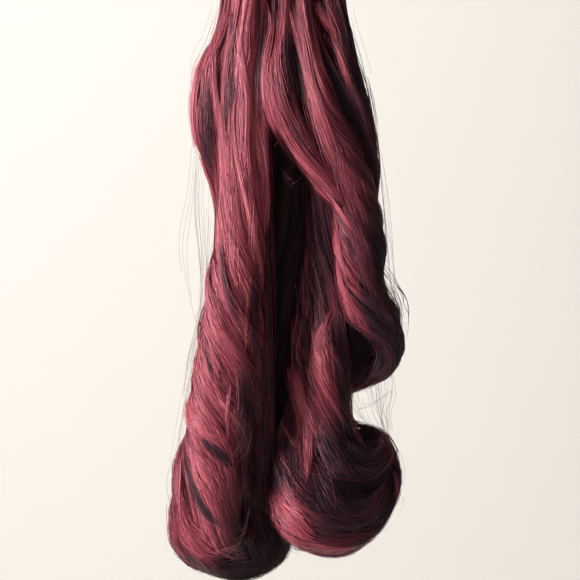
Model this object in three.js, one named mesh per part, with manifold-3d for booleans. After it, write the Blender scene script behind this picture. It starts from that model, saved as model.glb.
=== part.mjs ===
// A clip-in hair extension: locks of wavy hair that hang from a sewn weft band with two snap clips.
// Millimetres, +Z up. The hair's front faces -Y and the clips face +Y.
// The origin is the middle of the band's top edge.
import * as THREE from "three";
import { mergeVertices } from "three/addons/utils/BufferGeometryUtils.js";
import { RoundedBoxGeometry } from "three/addons/geometries/RoundedBoxGeometry.js";
import Module from "manifold-3d";

const wasm = await Module();
wasm.setup();

// Driving sizes
const hairFall = 544; // from the band's lower edge to the lowest curl
const hairWidth = 192; // the spread of the locks that the across shares follow
const hairDepth = 96; // the depth that the depth shares follow
const lockGap = 0.4; // between locks that lie against each other
const seatGap = 0.3; // between the band and what it carries

const weftWidth = 104;
const weftHeight = 16;
const weftThick = 10;
const weftRound = 2.4;

const clipLength = 32;
const clipHeight = 12.5;
const clipThick = 2.4;
const clipSlot = 2.2;
const clipRail = 2.8; // the metal round a clip's slots
const clipSpread = 58; // between the middles of the two clips
const clipRound = 0.5; // the worn edge of a clip

const leftCurlRadius = 43;
const leftCurlLength = 60;
const rightCurlRadius = 54;
const rightCurlLength = 58;
const curlHole = 5; // radius of the hollow that a curl winds round

const RIB_POINTS = 3; // corners across one rib of hair
const RIB_SPREAD = 0.25; // the share of a groove's depth that changes from rib to rib
const RIB_CHANGE = 2.4; // and how fast it changes, in radians a rib
const WIND_STEPS = 2; // rings for each row of a wound end
const WOUND_FULLNESS = 0.7; // under 1 a section fills out towards a rounded box
const ARC_SEGMENTS = 4; // across the round end of a clip
const WELD_DISTANCE = 1e-4; // corners closer than this are one
const degrees = THREE.MathUtils.degToRad;

// Turns a table with named columns into one record for each row.
function table(columns, rows) {
  return rows.map((row) =>
    Object.fromEntries(columns.map((name, i) => [name, row[i]])),
  );
}

// Where a curl lies: its middle as shares, the way its axis points, and where its hollow is, as shares of
// its radius from its middle. The axis swings from the front towards the right, and tips up.
const leftCurl = {
  down: 0.918,
  across: -0.244,
  depth: 0.1,
  swing: 54,
  tip: -16,
  radius: leftCurlRadius,
  length: leftCurlLength,
  holeSide: -0.15,
  holeRise: 0.55,
};
const rightCurl = {
  down: 0.8605,
  across: 0.221,
  depth: -0.02,
  swing: 27,
  tip: 24,
  radius: rightCurlRadius,
  length: rightCurlLength,
  holeSide: 0.32,
  holeRise: 0.72,
};

// Rows of a hanging lock. Down is a share of hairFall, across and wide of hairWidth, depth and thick of
// hairDepth. Wide and thick are half sizes. Lean tips a section to the left, turn swings it, and lay is how
// far the strands have gone round the lock, all in degrees.
const HANG = ["down", "across", "depth", "wide", "thick", "lean", "turn", "lay"];
// Rows of a lock's wound end. Inner and outer are shares of the way from the hollow to the curl's outside,
// and near and far are shares of half the curl's length.
const WIND = ["angle", "inner", "outer", "near", "far", "lay"];

// Front locks come first: each lock gives way to those before it.
const locks = [
  {
    name: "lock_right_inner",
    steps: 1,
    ribs: 5,
    groove: 0.16,
    hang: table(HANG, [
      [0.0, 0.015, -0.025, 0.034, 0.02, 0, 0, 0],
      [0.07, 0.008, -0.07, 0.036, 0.06, 0, 0, 0],
      [0.15, 0.008, -0.15, 0.036, 0.09, 0, 0, 0],
      [0.195, 0.002, -0.2, 0.04, 0.1, 0, 0, 0],
      [0.24, -0.02, -0.24, 0.056, 0.11, 0, 0, -10],
      [0.281, -0.01, -0.27, 0.071, 0.12, 0, 0, -20],
      [0.319, 0.012, -0.29, 0.073, 0.12, 0, 0, -30],
      [0.365, 0.07, -0.31, 0.069, 0.12, 0, 0, -40],
      [0.391, 0.117, -0.32, 0.067, 0.115, 0, 0, -50],
      [0.416, 0.171, -0.32, 0.058, 0.1, 0, 0, -60],
      [0.441, 0.217, -0.31, 0.042, 0.08, 0, 0, -70],
      [0.466, 0.225, -0.29, 0.012, 0.03, 0, 0, -80],
    ]),
  },
  {
    name: "lock_right_front",
    steps: 2,
    ribs: 6,
    groove: 0.16,
    hang: table(HANG, [
      [0.0, 0.095, -0.025, 0.043, 0.02, 0, 0, 0],
      [0.07, 0.092, -0.08, 0.05, 0.06, 0, 0, 0],
      [0.147, 0.077, -0.15, 0.042, 0.1, 0, 0, 0],
      [0.215, 0.106, -0.18, 0.044, 0.12, 0, 0, 0],
      [0.26, 0.13, -0.2, 0.058, 0.14, 0, 0, -10],
      [0.316, 0.171, -0.22, 0.083, 0.16, 0, 0, -40],
      [0.36, 0.215, -0.22, 0.098, 0.18, 0, 0, -90],
      [0.404, 0.25, -0.22, 0.112, 0.19, 0, 0, -140],
      [0.441, 0.285, -0.21, 0.107, 0.2, 0, 0, -180],
      [0.485, 0.306, -0.2, 0.114, 0.21, 0, 0, -235],
      [0.532, 0.314, -0.18, 0.114, 0.22, 0, 0, -290],
      [0.558, 0.31, -0.17, 0.1, 0.22, 0, 0, -320],
      [0.58, 0.333, -0.16, 0.108, 0.22, 0, 0, -350],
      [0.61, 0.368, -0.13, 0.112, 0.21, -8, 0, -395],
      [0.64, 0.412, -0.08, 0.088, 0.2, 0, 0, -435],
      [0.664, 0.432, 0.0, 0.07, 0.18, 25, 0, -470],
      [0.687, 0.408, 0.07, 0.06, 0.15, 60, 0, -505],
      [0.701, 0.352, 0.12, 0.05, 0.12, 72, 0, -540],
      [0.714, 0.29, 0.16, 0.038, 0.09, 70, 0, -570],
      [0.727, 0.235, 0.19, 0.014, 0.04, 70, 0, -595],
    ]),
  },
  {
    name: "lock_left_front",
    steps: 2,
    ribs: 6,
    groove: 0.14,
    hang: table(HANG, [
      [0.0, -0.088, -0.025, 0.067, 0.02, 0, 0, 0],
      [0.07, -0.112, -0.08, 0.079, 0.07, 0, 0, 0],
      [0.147, -0.142, -0.13, 0.09, 0.12, 0, 0, 0],
      [0.235, -0.162, -0.17, 0.106, 0.15, 0, 0, 0],
      [0.324, -0.171, -0.18, 0.118, 0.17, 0, 0, 0],
      [0.412, -0.167, -0.18, 0.118, 0.18, 0, 0, -10],
      [0.5, -0.188, -0.18, 0.119, 0.18, 0, 0, -50],
      [0.588, -0.212, -0.19, 0.129, 0.19, 0, 0, -120],
      [0.662, -0.229, -0.21, 0.15, 0.2, 0, 0, -190],
      [0.735, -0.245, -0.23, 0.165, 0.21, 0, 5, -250],
      [0.79, -0.255, -0.25, 0.158, 0.21, 0, 15, -290],
    ]),
    curl: leftCurl,
    wind: table(WIND, [
      [190, 0.05, 1.05, 1.0, -0.1, -325],
      [225, 0.04, 0.8, 1.1, -0.2, -350],
      [265, 0.03, 0.68, 1.1, -0.4, -380],
      [310, 0.04, 0.6, 0.9, -0.5, -410],
      [355, 0.08, 0.55, 0.7, -0.5, -440],
      [400, 0.2, 0.45, 0.4, -0.1, -470],
    ]),
  },
  {
    name: "lock_left_outer",
    steps: 1,
    ribs: 5,
    groove: 0.16,
    hang: table(HANG, [
      [0.0, -0.214, -0.025, 0.044, 0.02, 0, 0, 0],
      [0.07, -0.222, -0.06, 0.046, 0.07, 0, 0, 0],
      [0.147, -0.22, -0.1, 0.052, 0.1, 0, 0, 0],
      [0.199, -0.242, -0.12, 0.058, 0.12, 0, 0, 0],
      [0.245, -0.294, -0.13, 0.075, 0.13, 0, 0, 0],
      [0.28, -0.31, -0.13, 0.078, 0.13, 0, 0, -10],
      [0.32, -0.316, -0.13, 0.074, 0.13, 0, 0, -20],
      [0.353, -0.316, -0.12, 0.07, 0.12, 0, 0, -30],
      [0.374, -0.304, -0.12, 0.062, 0.11, 0, 0, -40],
      [0.4, -0.294, -0.11, 0.05, 0.1, 0, 0, -50],
      [0.43, -0.283, -0.1, 0.03, 0.08, 0, 0, -60],
      [0.47, -0.28, -0.08, 0.01, 0.03, 0, 0, -70],
    ]),
  },
  {
    name: "lock_right_outer",
    steps: 1,
    ribs: 5,
    groove: 0.16,
    hang: table(HANG, [
      [0.0, 0.2, -0.025, 0.056, 0.02, 0, 0, 0],
      [0.07, 0.192, -0.07, 0.06, 0.06, 0, 0, 0],
      [0.147, 0.183, -0.1, 0.067, 0.1, 0, 0, 0],
      [0.199, 0.227, -0.12, 0.06, 0.12, 0, 0, 0],
      [0.249, 0.258, -0.13, 0.058, 0.13, 0, 0, -10],
      [0.294, 0.3, -0.13, 0.052, 0.13, 0, 0, -20],
      [0.338, 0.335, -0.11, 0.045, 0.12, 0, 0, -30],
      [0.385, 0.362, -0.08, 0.034, 0.1, 0, 0, -40],
      [0.42, 0.374, -0.05, 0.02, 0.07, 0, 0, -50],
      [0.45, 0.378, -0.02, 0.008, 0.03, 0, 0, -60],
    ]),
  },
  {
    name: "lock_right_lower",
    steps: 1,
    ribs: 6,
    groove: 0.14,
    hang: table(HANG, [
      [0.0, 0.105, 0.025, 0.045, 0.02, 0, 0, 0],
      [0.07, 0.115, 0.03, 0.06, 0.05, 0, 0, 0],
      [0.147, 0.125, 0.02, 0.07, 0.08, 0, 0, 0],
      [0.235, 0.138, 0.02, 0.075, 0.09, 0, 0, 0],
      [0.324, 0.155, 0.02, 0.08, 0.1, 0, 0, 0],
      [0.412, 0.17, 0.02, 0.085, 0.1, 0, 0, -10],
      [0.5, 0.172, 0.02, 0.085, 0.11, 0, 0, -40],
      [0.588, 0.19, 0.01, 0.08, 0.13, 0, 5, -80],
      [0.64, 0.185, 0.01, 0.088, 0.15, 0, 10, -110],
      [0.69, 0.178, 0.01, 0.1, 0.17, 0, 15, -150],
      [0.74, 0.185, 0.01, 0.098, 0.18, 0, 20, -190],
      [0.78, 0.2, 0.01, 0.096, 0.19, 0, 25, -220],
    ]),
    curl: rightCurl,
    wind: table(WIND, [
      [205, 0.05, 0.6, 0.95, -0.3, -245],
      [240, 0.04, 0.5, 1.05, -0.6, -270],
      [270, 0.03, 0.47, 1.05, -0.8, -290],
      [315, 0.04, 0.56, 1.05, -0.8, -320],
      [360, 0.1, 0.75, 1.0, -0.7, -345],
      [405, 0.15, 0.7, 0.7, -0.4, -370],
      [435, 0.3, 0.6, 0.4, -0.1, -380],
    ]),
  },
  {
    name: "lock_left_inner",
    steps: 1,
    ribs: 5,
    groove: 0.16,
    hang: table(HANG, [
      [0.0, -0.026, 0.025, 0.033, 0.02, 0, 0, 0],
      [0.07, -0.03, -0.02, 0.038, 0.06, 0, 0, 0],
      [0.147, -0.036, -0.1, 0.043, 0.1, 0, 0, 0],
      [0.194, -0.045, -0.1, 0.036, 0.1, 0, 0, 0],
      [0.24, -0.07, -0.06, 0.042, 0.1, 0, 0, 0],
      [0.324, -0.09, -0.03, 0.05, 0.11, 0, 0, 0],
      [0.44, -0.092, -0.02, 0.054, 0.12, 0, 0, -10],
      [0.53, -0.088, -0.02, 0.056, 0.13, 0, 0, -30],
      [0.66, -0.088, -0.03, 0.06, 0.14, 0, 0, -60],
      [0.78, -0.108, -0.02, 0.08, 0.14, 0, 0, -90],
      [0.85, -0.114, 0.0, 0.086, 0.12, 0, 0, -110],
      [0.9, -0.11, 0.02, 0.04, 0.06, 0, 0, -120],
    ]),
  },
  {
    name: "lock_left_curl",
    steps: 1,
    ribs: 6,
    groove: 0.14,
    hang: table(HANG, [
      [0.0, -0.17, 0.025, 0.088, 0.02, 0, 0, 0],
      [0.07, -0.17, 0.06, 0.095, 0.06, 0, 0, 0],
      [0.147, -0.17, 0.09, 0.11, 0.1, 0, 0, 0],
      [0.235, -0.19, 0.11, 0.13, 0.13, 0, 0, 0],
      [0.324, -0.195, 0.12, 0.14, 0.15, 0, 0, 0],
      [0.412, -0.185, 0.13, 0.13, 0.16, 0, 0, 10],
      [0.5, -0.185, 0.13, 0.12, 0.17, 0, 0, 20],
      [0.588, -0.2, 0.13, 0.125, 0.18, 0, 0, 10],
      [0.662, -0.215, 0.12, 0.14, 0.19, 0, 5, -20],
      [0.735, -0.24, 0.1, 0.155, 0.2, 0, 12, -60],
      [0.785, -0.275, 0.07, 0.165, 0.2, 0, 22, -100],
      [0.83, -0.32, 0.03, 0.178, 0.2, 0, 32, -130],
    ]),
    curl: leftCurl,
    wind: table(WIND, [
      [195, 0.15, 1.16, 0.25, -1.0, -160],
      [230, 0.25, 1.12, 0.85, -1.0, -190],
      [270, 0.3, 1.08, 1.16, -1.0, -210],
      [308, 0.3, 1.3, 1.42, -0.95, -230],
      [345, 0.35, 1.05, 1.1, -0.8, -250],
      [400, 0.4, 0.8, 0.7, -0.6, -270],
      [430, 0.5, 0.8, 0.3, -0.2, -280],
    ]),
  },
  {
    name: "lock_right_curl",
    steps: 1,
    ribs: 6,
    groove: 0.14,
    hang: table(HANG, [
      [0.0, 0.205, 0.025, 0.055, 0.02, 0, 0, 0],
      [0.07, 0.2, 0.07, 0.07, 0.06, 0, 0, 0],
      [0.147, 0.18, 0.1, 0.085, 0.1, 0, 0, 0],
      [0.235, 0.2, 0.13, 0.115, 0.13, 0, 0, 0],
      [0.324, 0.225, 0.15, 0.14, 0.15, 0, 0, 0],
      [0.412, 0.235, 0.17, 0.14, 0.16, 0, 0, 0],
      [0.5, 0.21, 0.18, 0.135, 0.17, 0, 0, -20],
      [0.588, 0.19, 0.18, 0.165, 0.18, 0, 3, -60],
      [0.65, 0.22, 0.18, 0.222, 0.19, 0, 8, -110],
      [0.69, 0.19, 0.17, 0.2, 0.2, 0, 12, -140],
      [0.75, 0.13, 0.15, 0.138, 0.21, 0, 20, -190],
    ]),
    curl: rightCurl,
    wind: table(WIND, [
      [205, 0.1, 1.1, 0.5, -1.0, -240],
      [237, 0.25, 1.15, 0.95, -1.0, -270],
      [270, 0.35, 1.05, 1.0, -1.0, -300],
      [315, 0.35, 0.93, 0.92, -1.0, -340],
      [360, 0.35, 0.92, 0.85, -0.9, -380],
      [405, 0.4, 1.05, 0.7, -0.8, -410],
      [450, 0.5, 0.9, 0.5, -0.6, -440],
    ]),
  },
  {
    name: "lock_back_centre",
    steps: 1,
    ribs: 6,
    groove: 0.14,
    hang: table(HANG, [
      [0.0, 0.02, 0.025, 0.05, 0.02, 0, 0, 0],
      [0.07, 0.02, 0.1, 0.08, 0.06, 0, 0, 0],
      [0.147, 0.02, 0.17, 0.095, 0.09, 0, 0, 0],
      [0.235, 0.02, 0.23, 0.11, 0.12, 0, 0, 0],
      [0.412, 0.03, 0.28, 0.125, 0.14, 0, 0, 20],
      [0.588, 0.01, 0.3, 0.12, 0.15, 0, 0, 60],
      [0.735, -0.01, 0.32, 0.11, 0.15, 0, 0, 110],
      [0.82, -0.02, 0.34, 0.085, 0.13, 0, 0, 150],
      [0.87, -0.03, 0.35, 0.05, 0.09, 0, 0, 180],
      [0.9, -0.035, 0.34, 0.015, 0.03, 0, 0, 200],
    ]),
  },
];

// The section of a hanging lock at one row.
function hangingSection(row) {
  const lean = degrees(row.lean);
  const turn = degrees(row.turn);
  return {
    point: new THREE.Vector3(
      row.across * hairWidth,
      row.depth * hairDepth,
      -weftHeight - seatGap - row.down * hairFall,
    ),
    side: new THREE.Vector3(
      Math.cos(lean) * Math.cos(turn),
      Math.cos(lean) * Math.sin(turn),
      -Math.sin(lean),
    ),
    front: new THREE.Vector3(Math.sin(turn), -Math.cos(turn), 0),
    wide: row.wide * hairWidth,
    thick: row.thick * hairDepth,
    lay: degrees(row.lay),
    fullness: 1,
  };
}

// The axes of a curl: along its axis, towards its right and towards its top.
function curlAxes(curl) {
  const swing = degrees(curl.swing);
  const tip = degrees(curl.tip);
  const along = new THREE.Vector3(
    Math.cos(tip) * Math.sin(swing),
    -Math.cos(tip) * Math.cos(swing),
    Math.sin(tip),
  );
  const right = new THREE.Vector3(1, 0, 0).addScaledVector(along, -along.x);
  right.normalize();
  const up = new THREE.Vector3().crossVectors(along, right);
  return { along, right, up };
}

// The section of a wound end at one row: it stands on the half plane that leaves the hollow at the row's
// angle, and the way out to the curl's round outside is found from the hollow's place in the circle.
function woundSection(curl, row) {
  const { along, right, up } = curlAxes(curl);
  const angle = degrees(row.angle);
  const outward = new THREE.Vector3()
    .addScaledVector(right, Math.cos(angle))
    .addScaledVector(up, Math.sin(angle));
  const side = curl.holeSide * curl.radius;
  const rise = curl.holeRise * curl.radius;
  const across = side * Math.cos(angle) + rise * Math.sin(angle);
  const room = curl.radius ** 2 - side ** 2 - rise ** 2;
  const reach = Math.sqrt(across ** 2 + room) - across - curlHole;
  const inner = curlHole + row.inner * reach;
  const outer = curlHole + row.outer * reach;
  const half = curl.length / 2;
  const point = new THREE.Vector3(
    curl.across * hairWidth,
    curl.depth * hairDepth,
    -weftHeight - seatGap - curl.down * hairFall,
  );
  point.addScaledVector(right, side).addScaledVector(up, rise);
  point.addScaledVector(outward, (inner + outer) / 2);
  point.addScaledVector(along, ((row.near + row.far) / 2) * half);
  return {
    point,
    side: outward.negate(),
    front: along,
    wide: (outer - inner) / 2,
    thick: ((row.near - row.far) / 2) * half,
    lay: degrees(row.lay),
    fullness: WOUND_FULLNESS,
  };
}

// A smooth value between the two middle ones of four.
function between(a, b, c, d, t) {
  const pull = b + b + t * (c - a);
  const bend = 2 * a - 5 * b + 4 * c - d;
  const close = 3 * b - a - 3 * c + d;
  return (pull + t * t * (bend + t * close)) / 2;
}

// The section at a place along a lock's sections, counted in rows.
function sectionAt(sections, place) {
  const last = sections.length - 1;
  const start = Math.min(Math.floor(place), last - 1);
  const t = place - start;
  const near = [-1, 0, 1, 2].map(
    (step) => sections[Math.min(Math.max(start + step, 0), last)],
  );
  const number = (read) => between(...near.map(read), t);
  const vector = (key) =>
    new THREE.Vector3(
      number((s) => s[key].x),
      number((s) => s[key].y),
      number((s) => s[key].z),
    );
  return {
    point: vector("point"),
    side: vector("side").normalize(),
    front: vector("front").normalize(),
    wide: number((s) => s.wide),
    thick: number((s) => s.thick),
    lay: number((s) => s.lay),
    fullness: number((s) => s.fullness),
  };
}

// How far a corner of a ring is drawn in: each rib of hair bulges between two grooves.
function ribShare(lock, corner) {
  const rib = Math.floor(corner / RIB_POINTS);
  const place = (corner % RIB_POINTS) / RIB_POINTS;
  const deep = 1 - RIB_SPREAD + RIB_SPREAD * Math.sin(RIB_CHANGE * rib);
  return 1 - lock.groove * deep * (0.5 + 0.5 * Math.cos(2 * Math.PI * place));
}

// A cosine or sine pushed out towards one, which turns an ellipse into a rounded box.
function fuller(value, fullness) {
  return Math.sign(value) * Math.abs(value) ** fullness;
}

// One ring of corners round a section, each on its own strand, pushed out by grow.
function ringPoints(lock, section, grow) {
  const corners = lock.ribs * RIB_POINTS;
  return Array.from({ length: corners }, (_, corner) => {
    const angle = (2 * Math.PI * corner) / corners + section.lay;
    const share = ribShare(lock, corner);
    const aside = fuller(Math.cos(angle), section.fullness);
    const ahead = fuller(Math.sin(angle), section.fullness);
    return section.point
      .clone()
      .addScaledVector(section.side, (section.wide * share + grow) * aside)
      .addScaledVector(section.front, (section.thick * share + grow) * ahead);
  });
}

// The closed loft of one lock. With grow it is the room that the lock needs, a little past both its ends.
function lockGeometry(lock, grow = 0) {
  const sections = lock.hang.map(hangingSection);
  if (lock.wind) {
    sections.push(...lock.wind.map((row) => woundSection(lock.curl, row)));
  }
  const places = [];
  for (let row = 0; row < sections.length - 1; row++) {
    const steps = row < lock.hang.length - 1 ? lock.steps : WIND_STEPS;
    for (let step = 0; step < steps; step++) places.push(row + step / steps);
  }
  places.push(sections.length - 1);
  const along = places.map((place) => sectionAt(sections, place));
  if (grow) {
    const root = { ...along[0], point: along[0].point.clone() };
    root.point.z += grow;
    along.unshift(root);
  }
  const corners = lock.ribs * RIB_POINTS;
  const points = along.flatMap((section) => ringPoints(lock, section, grow));
  const faces = [];
  for (let ring = 0; ring < along.length - 1; ring++) {
    for (let corner = 0; corner < corners; corner++) {
      const next = (corner + 1) % corners;
      const a = ring * corners + corner;
      const b = ring * corners + next;
      const c = a + corners;
      const d = b + corners;
      const short = points[a].distanceTo(points[d]) < points[b].distanceTo(points[c]);
      faces.push(...(short ? [a, b, d, a, d, c] : [a, b, c, b, d, c]));
    }
  }
  const first = points.length;
  points.push(along[0].point, along.at(-1).point);
  const lastRing = (along.length - 1) * corners;
  for (let corner = 0; corner < corners; corner++) {
    const next = (corner + 1) % corners;
    faces.push(first, next, corner);
    faces.push(first + 1, lastRing + corner, lastRing + next);
  }
  const geometry = new THREE.BufferGeometry().setFromPoints(points);
  geometry.setIndex(faces);
  return geometry;
}

// A closed geometry as a solid that can be cut.
function solidOf(geometry) {
  const bare = geometry.clone();
  bare.deleteAttribute("normal");
  bare.deleteAttribute("uv");
  const merged = mergeVertices(bare, WELD_DISTANCE);
  return new wasm.Manifold(
    new wasm.Mesh({
      numProp: 3,
      vertProperties: merged.attributes.position.array,
      triVerts: new Uint32Array(merged.index.array),
    }),
  );
}

// A solid as a geometry that can be shown.
function geometryOf(solid) {
  const mesh = solid.getMesh();
  const geometry = new THREE.BufferGeometry();
  geometry.setAttribute(
    "position",
    new THREE.BufferAttribute(mesh.vertProperties, 3),
  );
  geometry.setIndex(new THREE.BufferAttribute(mesh.triVerts, 1));
  geometry.computeVertexNormals();
  return geometry;
}

// Burgundy hair, darker in the locks that lie behind.
const hair = new THREE.MeshStandardMaterial({
  color: 0x8e3a49,
  roughness: 0.42,
  metalness: 0,
});
const darkHair = new THREE.MeshStandardMaterial({
  color: 0x3a2228,
  roughness: 0.5,
  metalness: 0,
});
const bandCloth = new THREE.MeshStandardMaterial({
  color: 0x1d171a,
  roughness: 0.9,
  metalness: 0,
});
const clipMetal = new THREE.MeshStandardMaterial({
  color: 0x17161a,
  roughness: 0.35,
  metalness: 0.8,
});
const DARK_LOCKS = ["lock_left_inner", "lock_back_centre"];

function named(name, geometry, material) {
  const mesh = new THREE.Mesh(geometry, material);
  mesh.name = name;
  return mesh;
}

// The locks, each cut back where a lock in front of it lies.
function hairLocks() {
  const group = new THREE.Group();
  const inFront = [];
  for (const lock of locks) {
    let solid = solidOf(lockGeometry(lock));
    for (const other of inFront) solid = solid.subtract(other);
    inFront.push(solidOf(lockGeometry(lock, lockGap)));
    const material = DARK_LOCKS.includes(lock.name) ? darkHair : hair;
    group.add(named(lock.name, geometryOf(solid), material));
  }
  return group;
}

function weftBand() {
  const geometry = new RoundedBoxGeometry(
    weftWidth,
    weftThick,
    weftHeight,
    2,
    weftRound,
  );
  const band = named("weft_band", geometry, bandCloth);
  band.position.z = -weftHeight / 2;
  return band;
}

// A rounded slot or plate outline that lies along X.
function stadium(path, length, height, x, z) {
  const radius = height / 2;
  const straight = length / 2 - radius;
  path.moveTo(x - straight, z - radius);
  path.lineTo(x + straight, z - radius);
  path.absarc(x + straight, z, radius, -Math.PI / 2, Math.PI / 2, false);
  path.lineTo(x - straight, z + radius);
  path.absarc(x - straight, z, radius, Math.PI / 2, (3 * Math.PI) / 2, false);
  return path;
}

// A snap clip: a rounded plate with two long slots that leave its middle bar and its two rails.
function clip(name, x) {
  const outline = stadium(new THREE.Shape(), clipLength, clipHeight, 0, 0);
  const offset = clipHeight / 2 - clipRail - clipSlot / 2;
  const slotLength = clipLength - 2 * clipRail - clipHeight / 2;
  for (const z of [-offset, offset]) {
    outline.holes.push(stadium(new THREE.Path(), slotLength, clipSlot, 0, z));
  }
  const geometry = new THREE.ExtrudeGeometry(outline, {
    depth: clipThick - 2 * clipRound,
    bevelThickness: clipRound,
    bevelSize: clipRound,
    bevelOffset: -clipRound,
    bevelSegments: 1,
    curveSegments: ARC_SEGMENTS,
  });
  geometry.rotateX(Math.PI / 2);
  geometry.translate(0, clipThick - clipRound, 0);
  const plate = named(name, geometry, clipMetal);
  plate.position.set(x, weftThick / 2 + seatGap, -weftHeight / 2);
  return plate;
}

const extension = new THREE.Group();
extension.add(
  weftBand(),
  clip("clip_left", -clipSpread / 2),
  clip("clip_right", clipSpread / 2),
  hairLocks(),
);
export default extension;
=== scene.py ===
"""A clip-in hair extension: wavy burgundy and near-black locks on a sewn band with two snap clips."""

import math

import bpy
import numpy as np
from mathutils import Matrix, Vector


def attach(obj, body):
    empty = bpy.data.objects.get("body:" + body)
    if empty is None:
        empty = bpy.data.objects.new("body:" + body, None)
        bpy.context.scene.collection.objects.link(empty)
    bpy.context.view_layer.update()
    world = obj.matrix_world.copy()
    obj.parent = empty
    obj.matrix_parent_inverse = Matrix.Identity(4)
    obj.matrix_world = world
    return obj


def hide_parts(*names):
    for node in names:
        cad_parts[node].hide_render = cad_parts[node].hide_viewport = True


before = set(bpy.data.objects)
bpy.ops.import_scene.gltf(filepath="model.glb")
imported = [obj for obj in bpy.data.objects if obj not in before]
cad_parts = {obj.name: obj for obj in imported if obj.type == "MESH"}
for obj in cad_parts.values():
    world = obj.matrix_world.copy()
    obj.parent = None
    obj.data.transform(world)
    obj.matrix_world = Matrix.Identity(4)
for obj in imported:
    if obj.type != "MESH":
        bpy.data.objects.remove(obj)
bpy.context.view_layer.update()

# Millimetres, as in the part's source
MM = 0.001
HAIR_FALL = 544
HAIR_WIDTH = 192
HAIR_DEPTH = 96
WEFT_WIDTH = 104
WEFT_THICK = 10
WEFT_HEIGHT = 16
SEAT_GAP = 0.3
CURL_HOLE = 5
WOUND_FULLNESS = 0.7
RIB_SPREAD = 0.25
RIB_CHANGE = 2.4

# Where a curl lies and how its axis points, as in the part's source
LEFT_CURL = dict(
    down=0.918, across=-0.244, depth=0.1, swing=54, tip=-16, radius=43, length=60, side=-0.15, rise=0.55
)
RIGHT_CURL = dict(
    down=0.8605, across=0.221, depth=-0.02, swing=27, tip=24, radius=54, length=58, side=0.32, rise=0.72
)

# Each lock's rows. Hang: down, across, depth, wide, thick, lean, turn, lay. The last three may be left out.
# Wind: angle, inner, outer, near, far, lay.
LOCKS = {}
LOCKS["lock_right_inner"] = dict(ribs=5, groove=0.16, hang=[
    (0.0, 0.015, -0.025, 0.034, 0.02),
    (0.07, 0.008, -0.07, 0.036, 0.06),
    (0.15, 0.008, -0.15, 0.036, 0.09),
    (0.195, 0.002, -0.2, 0.04, 0.1),
    (0.24, -0.02, -0.24, 0.056, 0.11, 0, 0, -10),
    (0.281, -0.01, -0.27, 0.071, 0.12, 0, 0, -20),
    (0.319, 0.012, -0.29, 0.073, 0.12, 0, 0, -30),
    (0.365, 0.07, -0.31, 0.069, 0.12, 0, 0, -40),
    (0.391, 0.117, -0.32, 0.067, 0.115, 0, 0, -50),
    (0.416, 0.171, -0.32, 0.058, 0.1, 0, 0, -60),
    (0.441, 0.217, -0.31, 0.042, 0.08, 0, 0, -70),
    (0.466, 0.225, -0.29, 0.012, 0.03, 0, 0, -80),
])
LOCKS["lock_right_front"] = dict(ribs=6, groove=0.16, hang=[
    (0.0, 0.095, -0.025, 0.043, 0.02),
    (0.07, 0.092, -0.08, 0.05, 0.06),
    (0.147, 0.077, -0.15, 0.042, 0.1),
    (0.215, 0.106, -0.18, 0.044, 0.12),
    (0.26, 0.13, -0.2, 0.058, 0.14, 0, 0, -10),
    (0.316, 0.171, -0.22, 0.083, 0.16, 0, 0, -40),
    (0.36, 0.215, -0.22, 0.098, 0.18, 0, 0, -90),
    (0.404, 0.25, -0.22, 0.112, 0.19, 0, 0, -140),
    (0.441, 0.285, -0.21, 0.107, 0.2, 0, 0, -180),
    (0.485, 0.306, -0.2, 0.114, 0.21, 0, 0, -235),
    (0.532, 0.314, -0.18, 0.114, 0.22, 0, 0, -290),
    (0.558, 0.31, -0.17, 0.1, 0.22, 0, 0, -320),
    (0.58, 0.333, -0.16, 0.108, 0.22, 0, 0, -350),
    (0.61, 0.368, -0.13, 0.112, 0.21, -8, 0, -395),
    (0.64, 0.412, -0.08, 0.088, 0.2, 0, 0, -435),
    (0.664, 0.432, 0.0, 0.07, 0.18, 25, 0, -470),
    (0.687, 0.408, 0.07, 0.06, 0.15, 60, 0, -505),
    (0.701, 0.352, 0.12, 0.05, 0.12, 72, 0, -540),
    (0.714, 0.29, 0.16, 0.038, 0.09, 70, 0, -570),
    (0.727, 0.235, 0.19, 0.014, 0.04, 70, 0, -595),
])
LOCKS["lock_left_front"] = dict(ribs=6, groove=0.14, hang=[
    (0.0, -0.088, -0.025, 0.067, 0.02),
    (0.07, -0.112, -0.08, 0.079, 0.07),
    (0.147, -0.142, -0.13, 0.09, 0.12),
    (0.235, -0.162, -0.17, 0.106, 0.15),
    (0.324, -0.171, -0.18, 0.118, 0.17),
    (0.412, -0.167, -0.18, 0.118, 0.18, 0, 0, -10),
    (0.5, -0.188, -0.18, 0.119, 0.18, 0, 0, -50),
    (0.588, -0.212, -0.19, 0.129, 0.19, 0, 0, -120),
    (0.662, -0.229, -0.21, 0.15, 0.2, 0, 0, -190),
    (0.735, -0.245, -0.23, 0.165, 0.21, 0, 5, -250),
    (0.79, -0.255, -0.25, 0.158, 0.21, 0, 15, -290),
], curl=LEFT_CURL, wind=[
    (190, 0.05, 1.05, 1.0, -0.1, -325),
    (225, 0.04, 0.8, 1.1, -0.2, -350),
    (265, 0.03, 0.68, 1.1, -0.4, -380),
    (310, 0.04, 0.6, 0.9, -0.5, -410),
    (355, 0.08, 0.55, 0.7, -0.5, -440),
    (400, 0.2, 0.45, 0.4, -0.1, -470),
])
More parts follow.
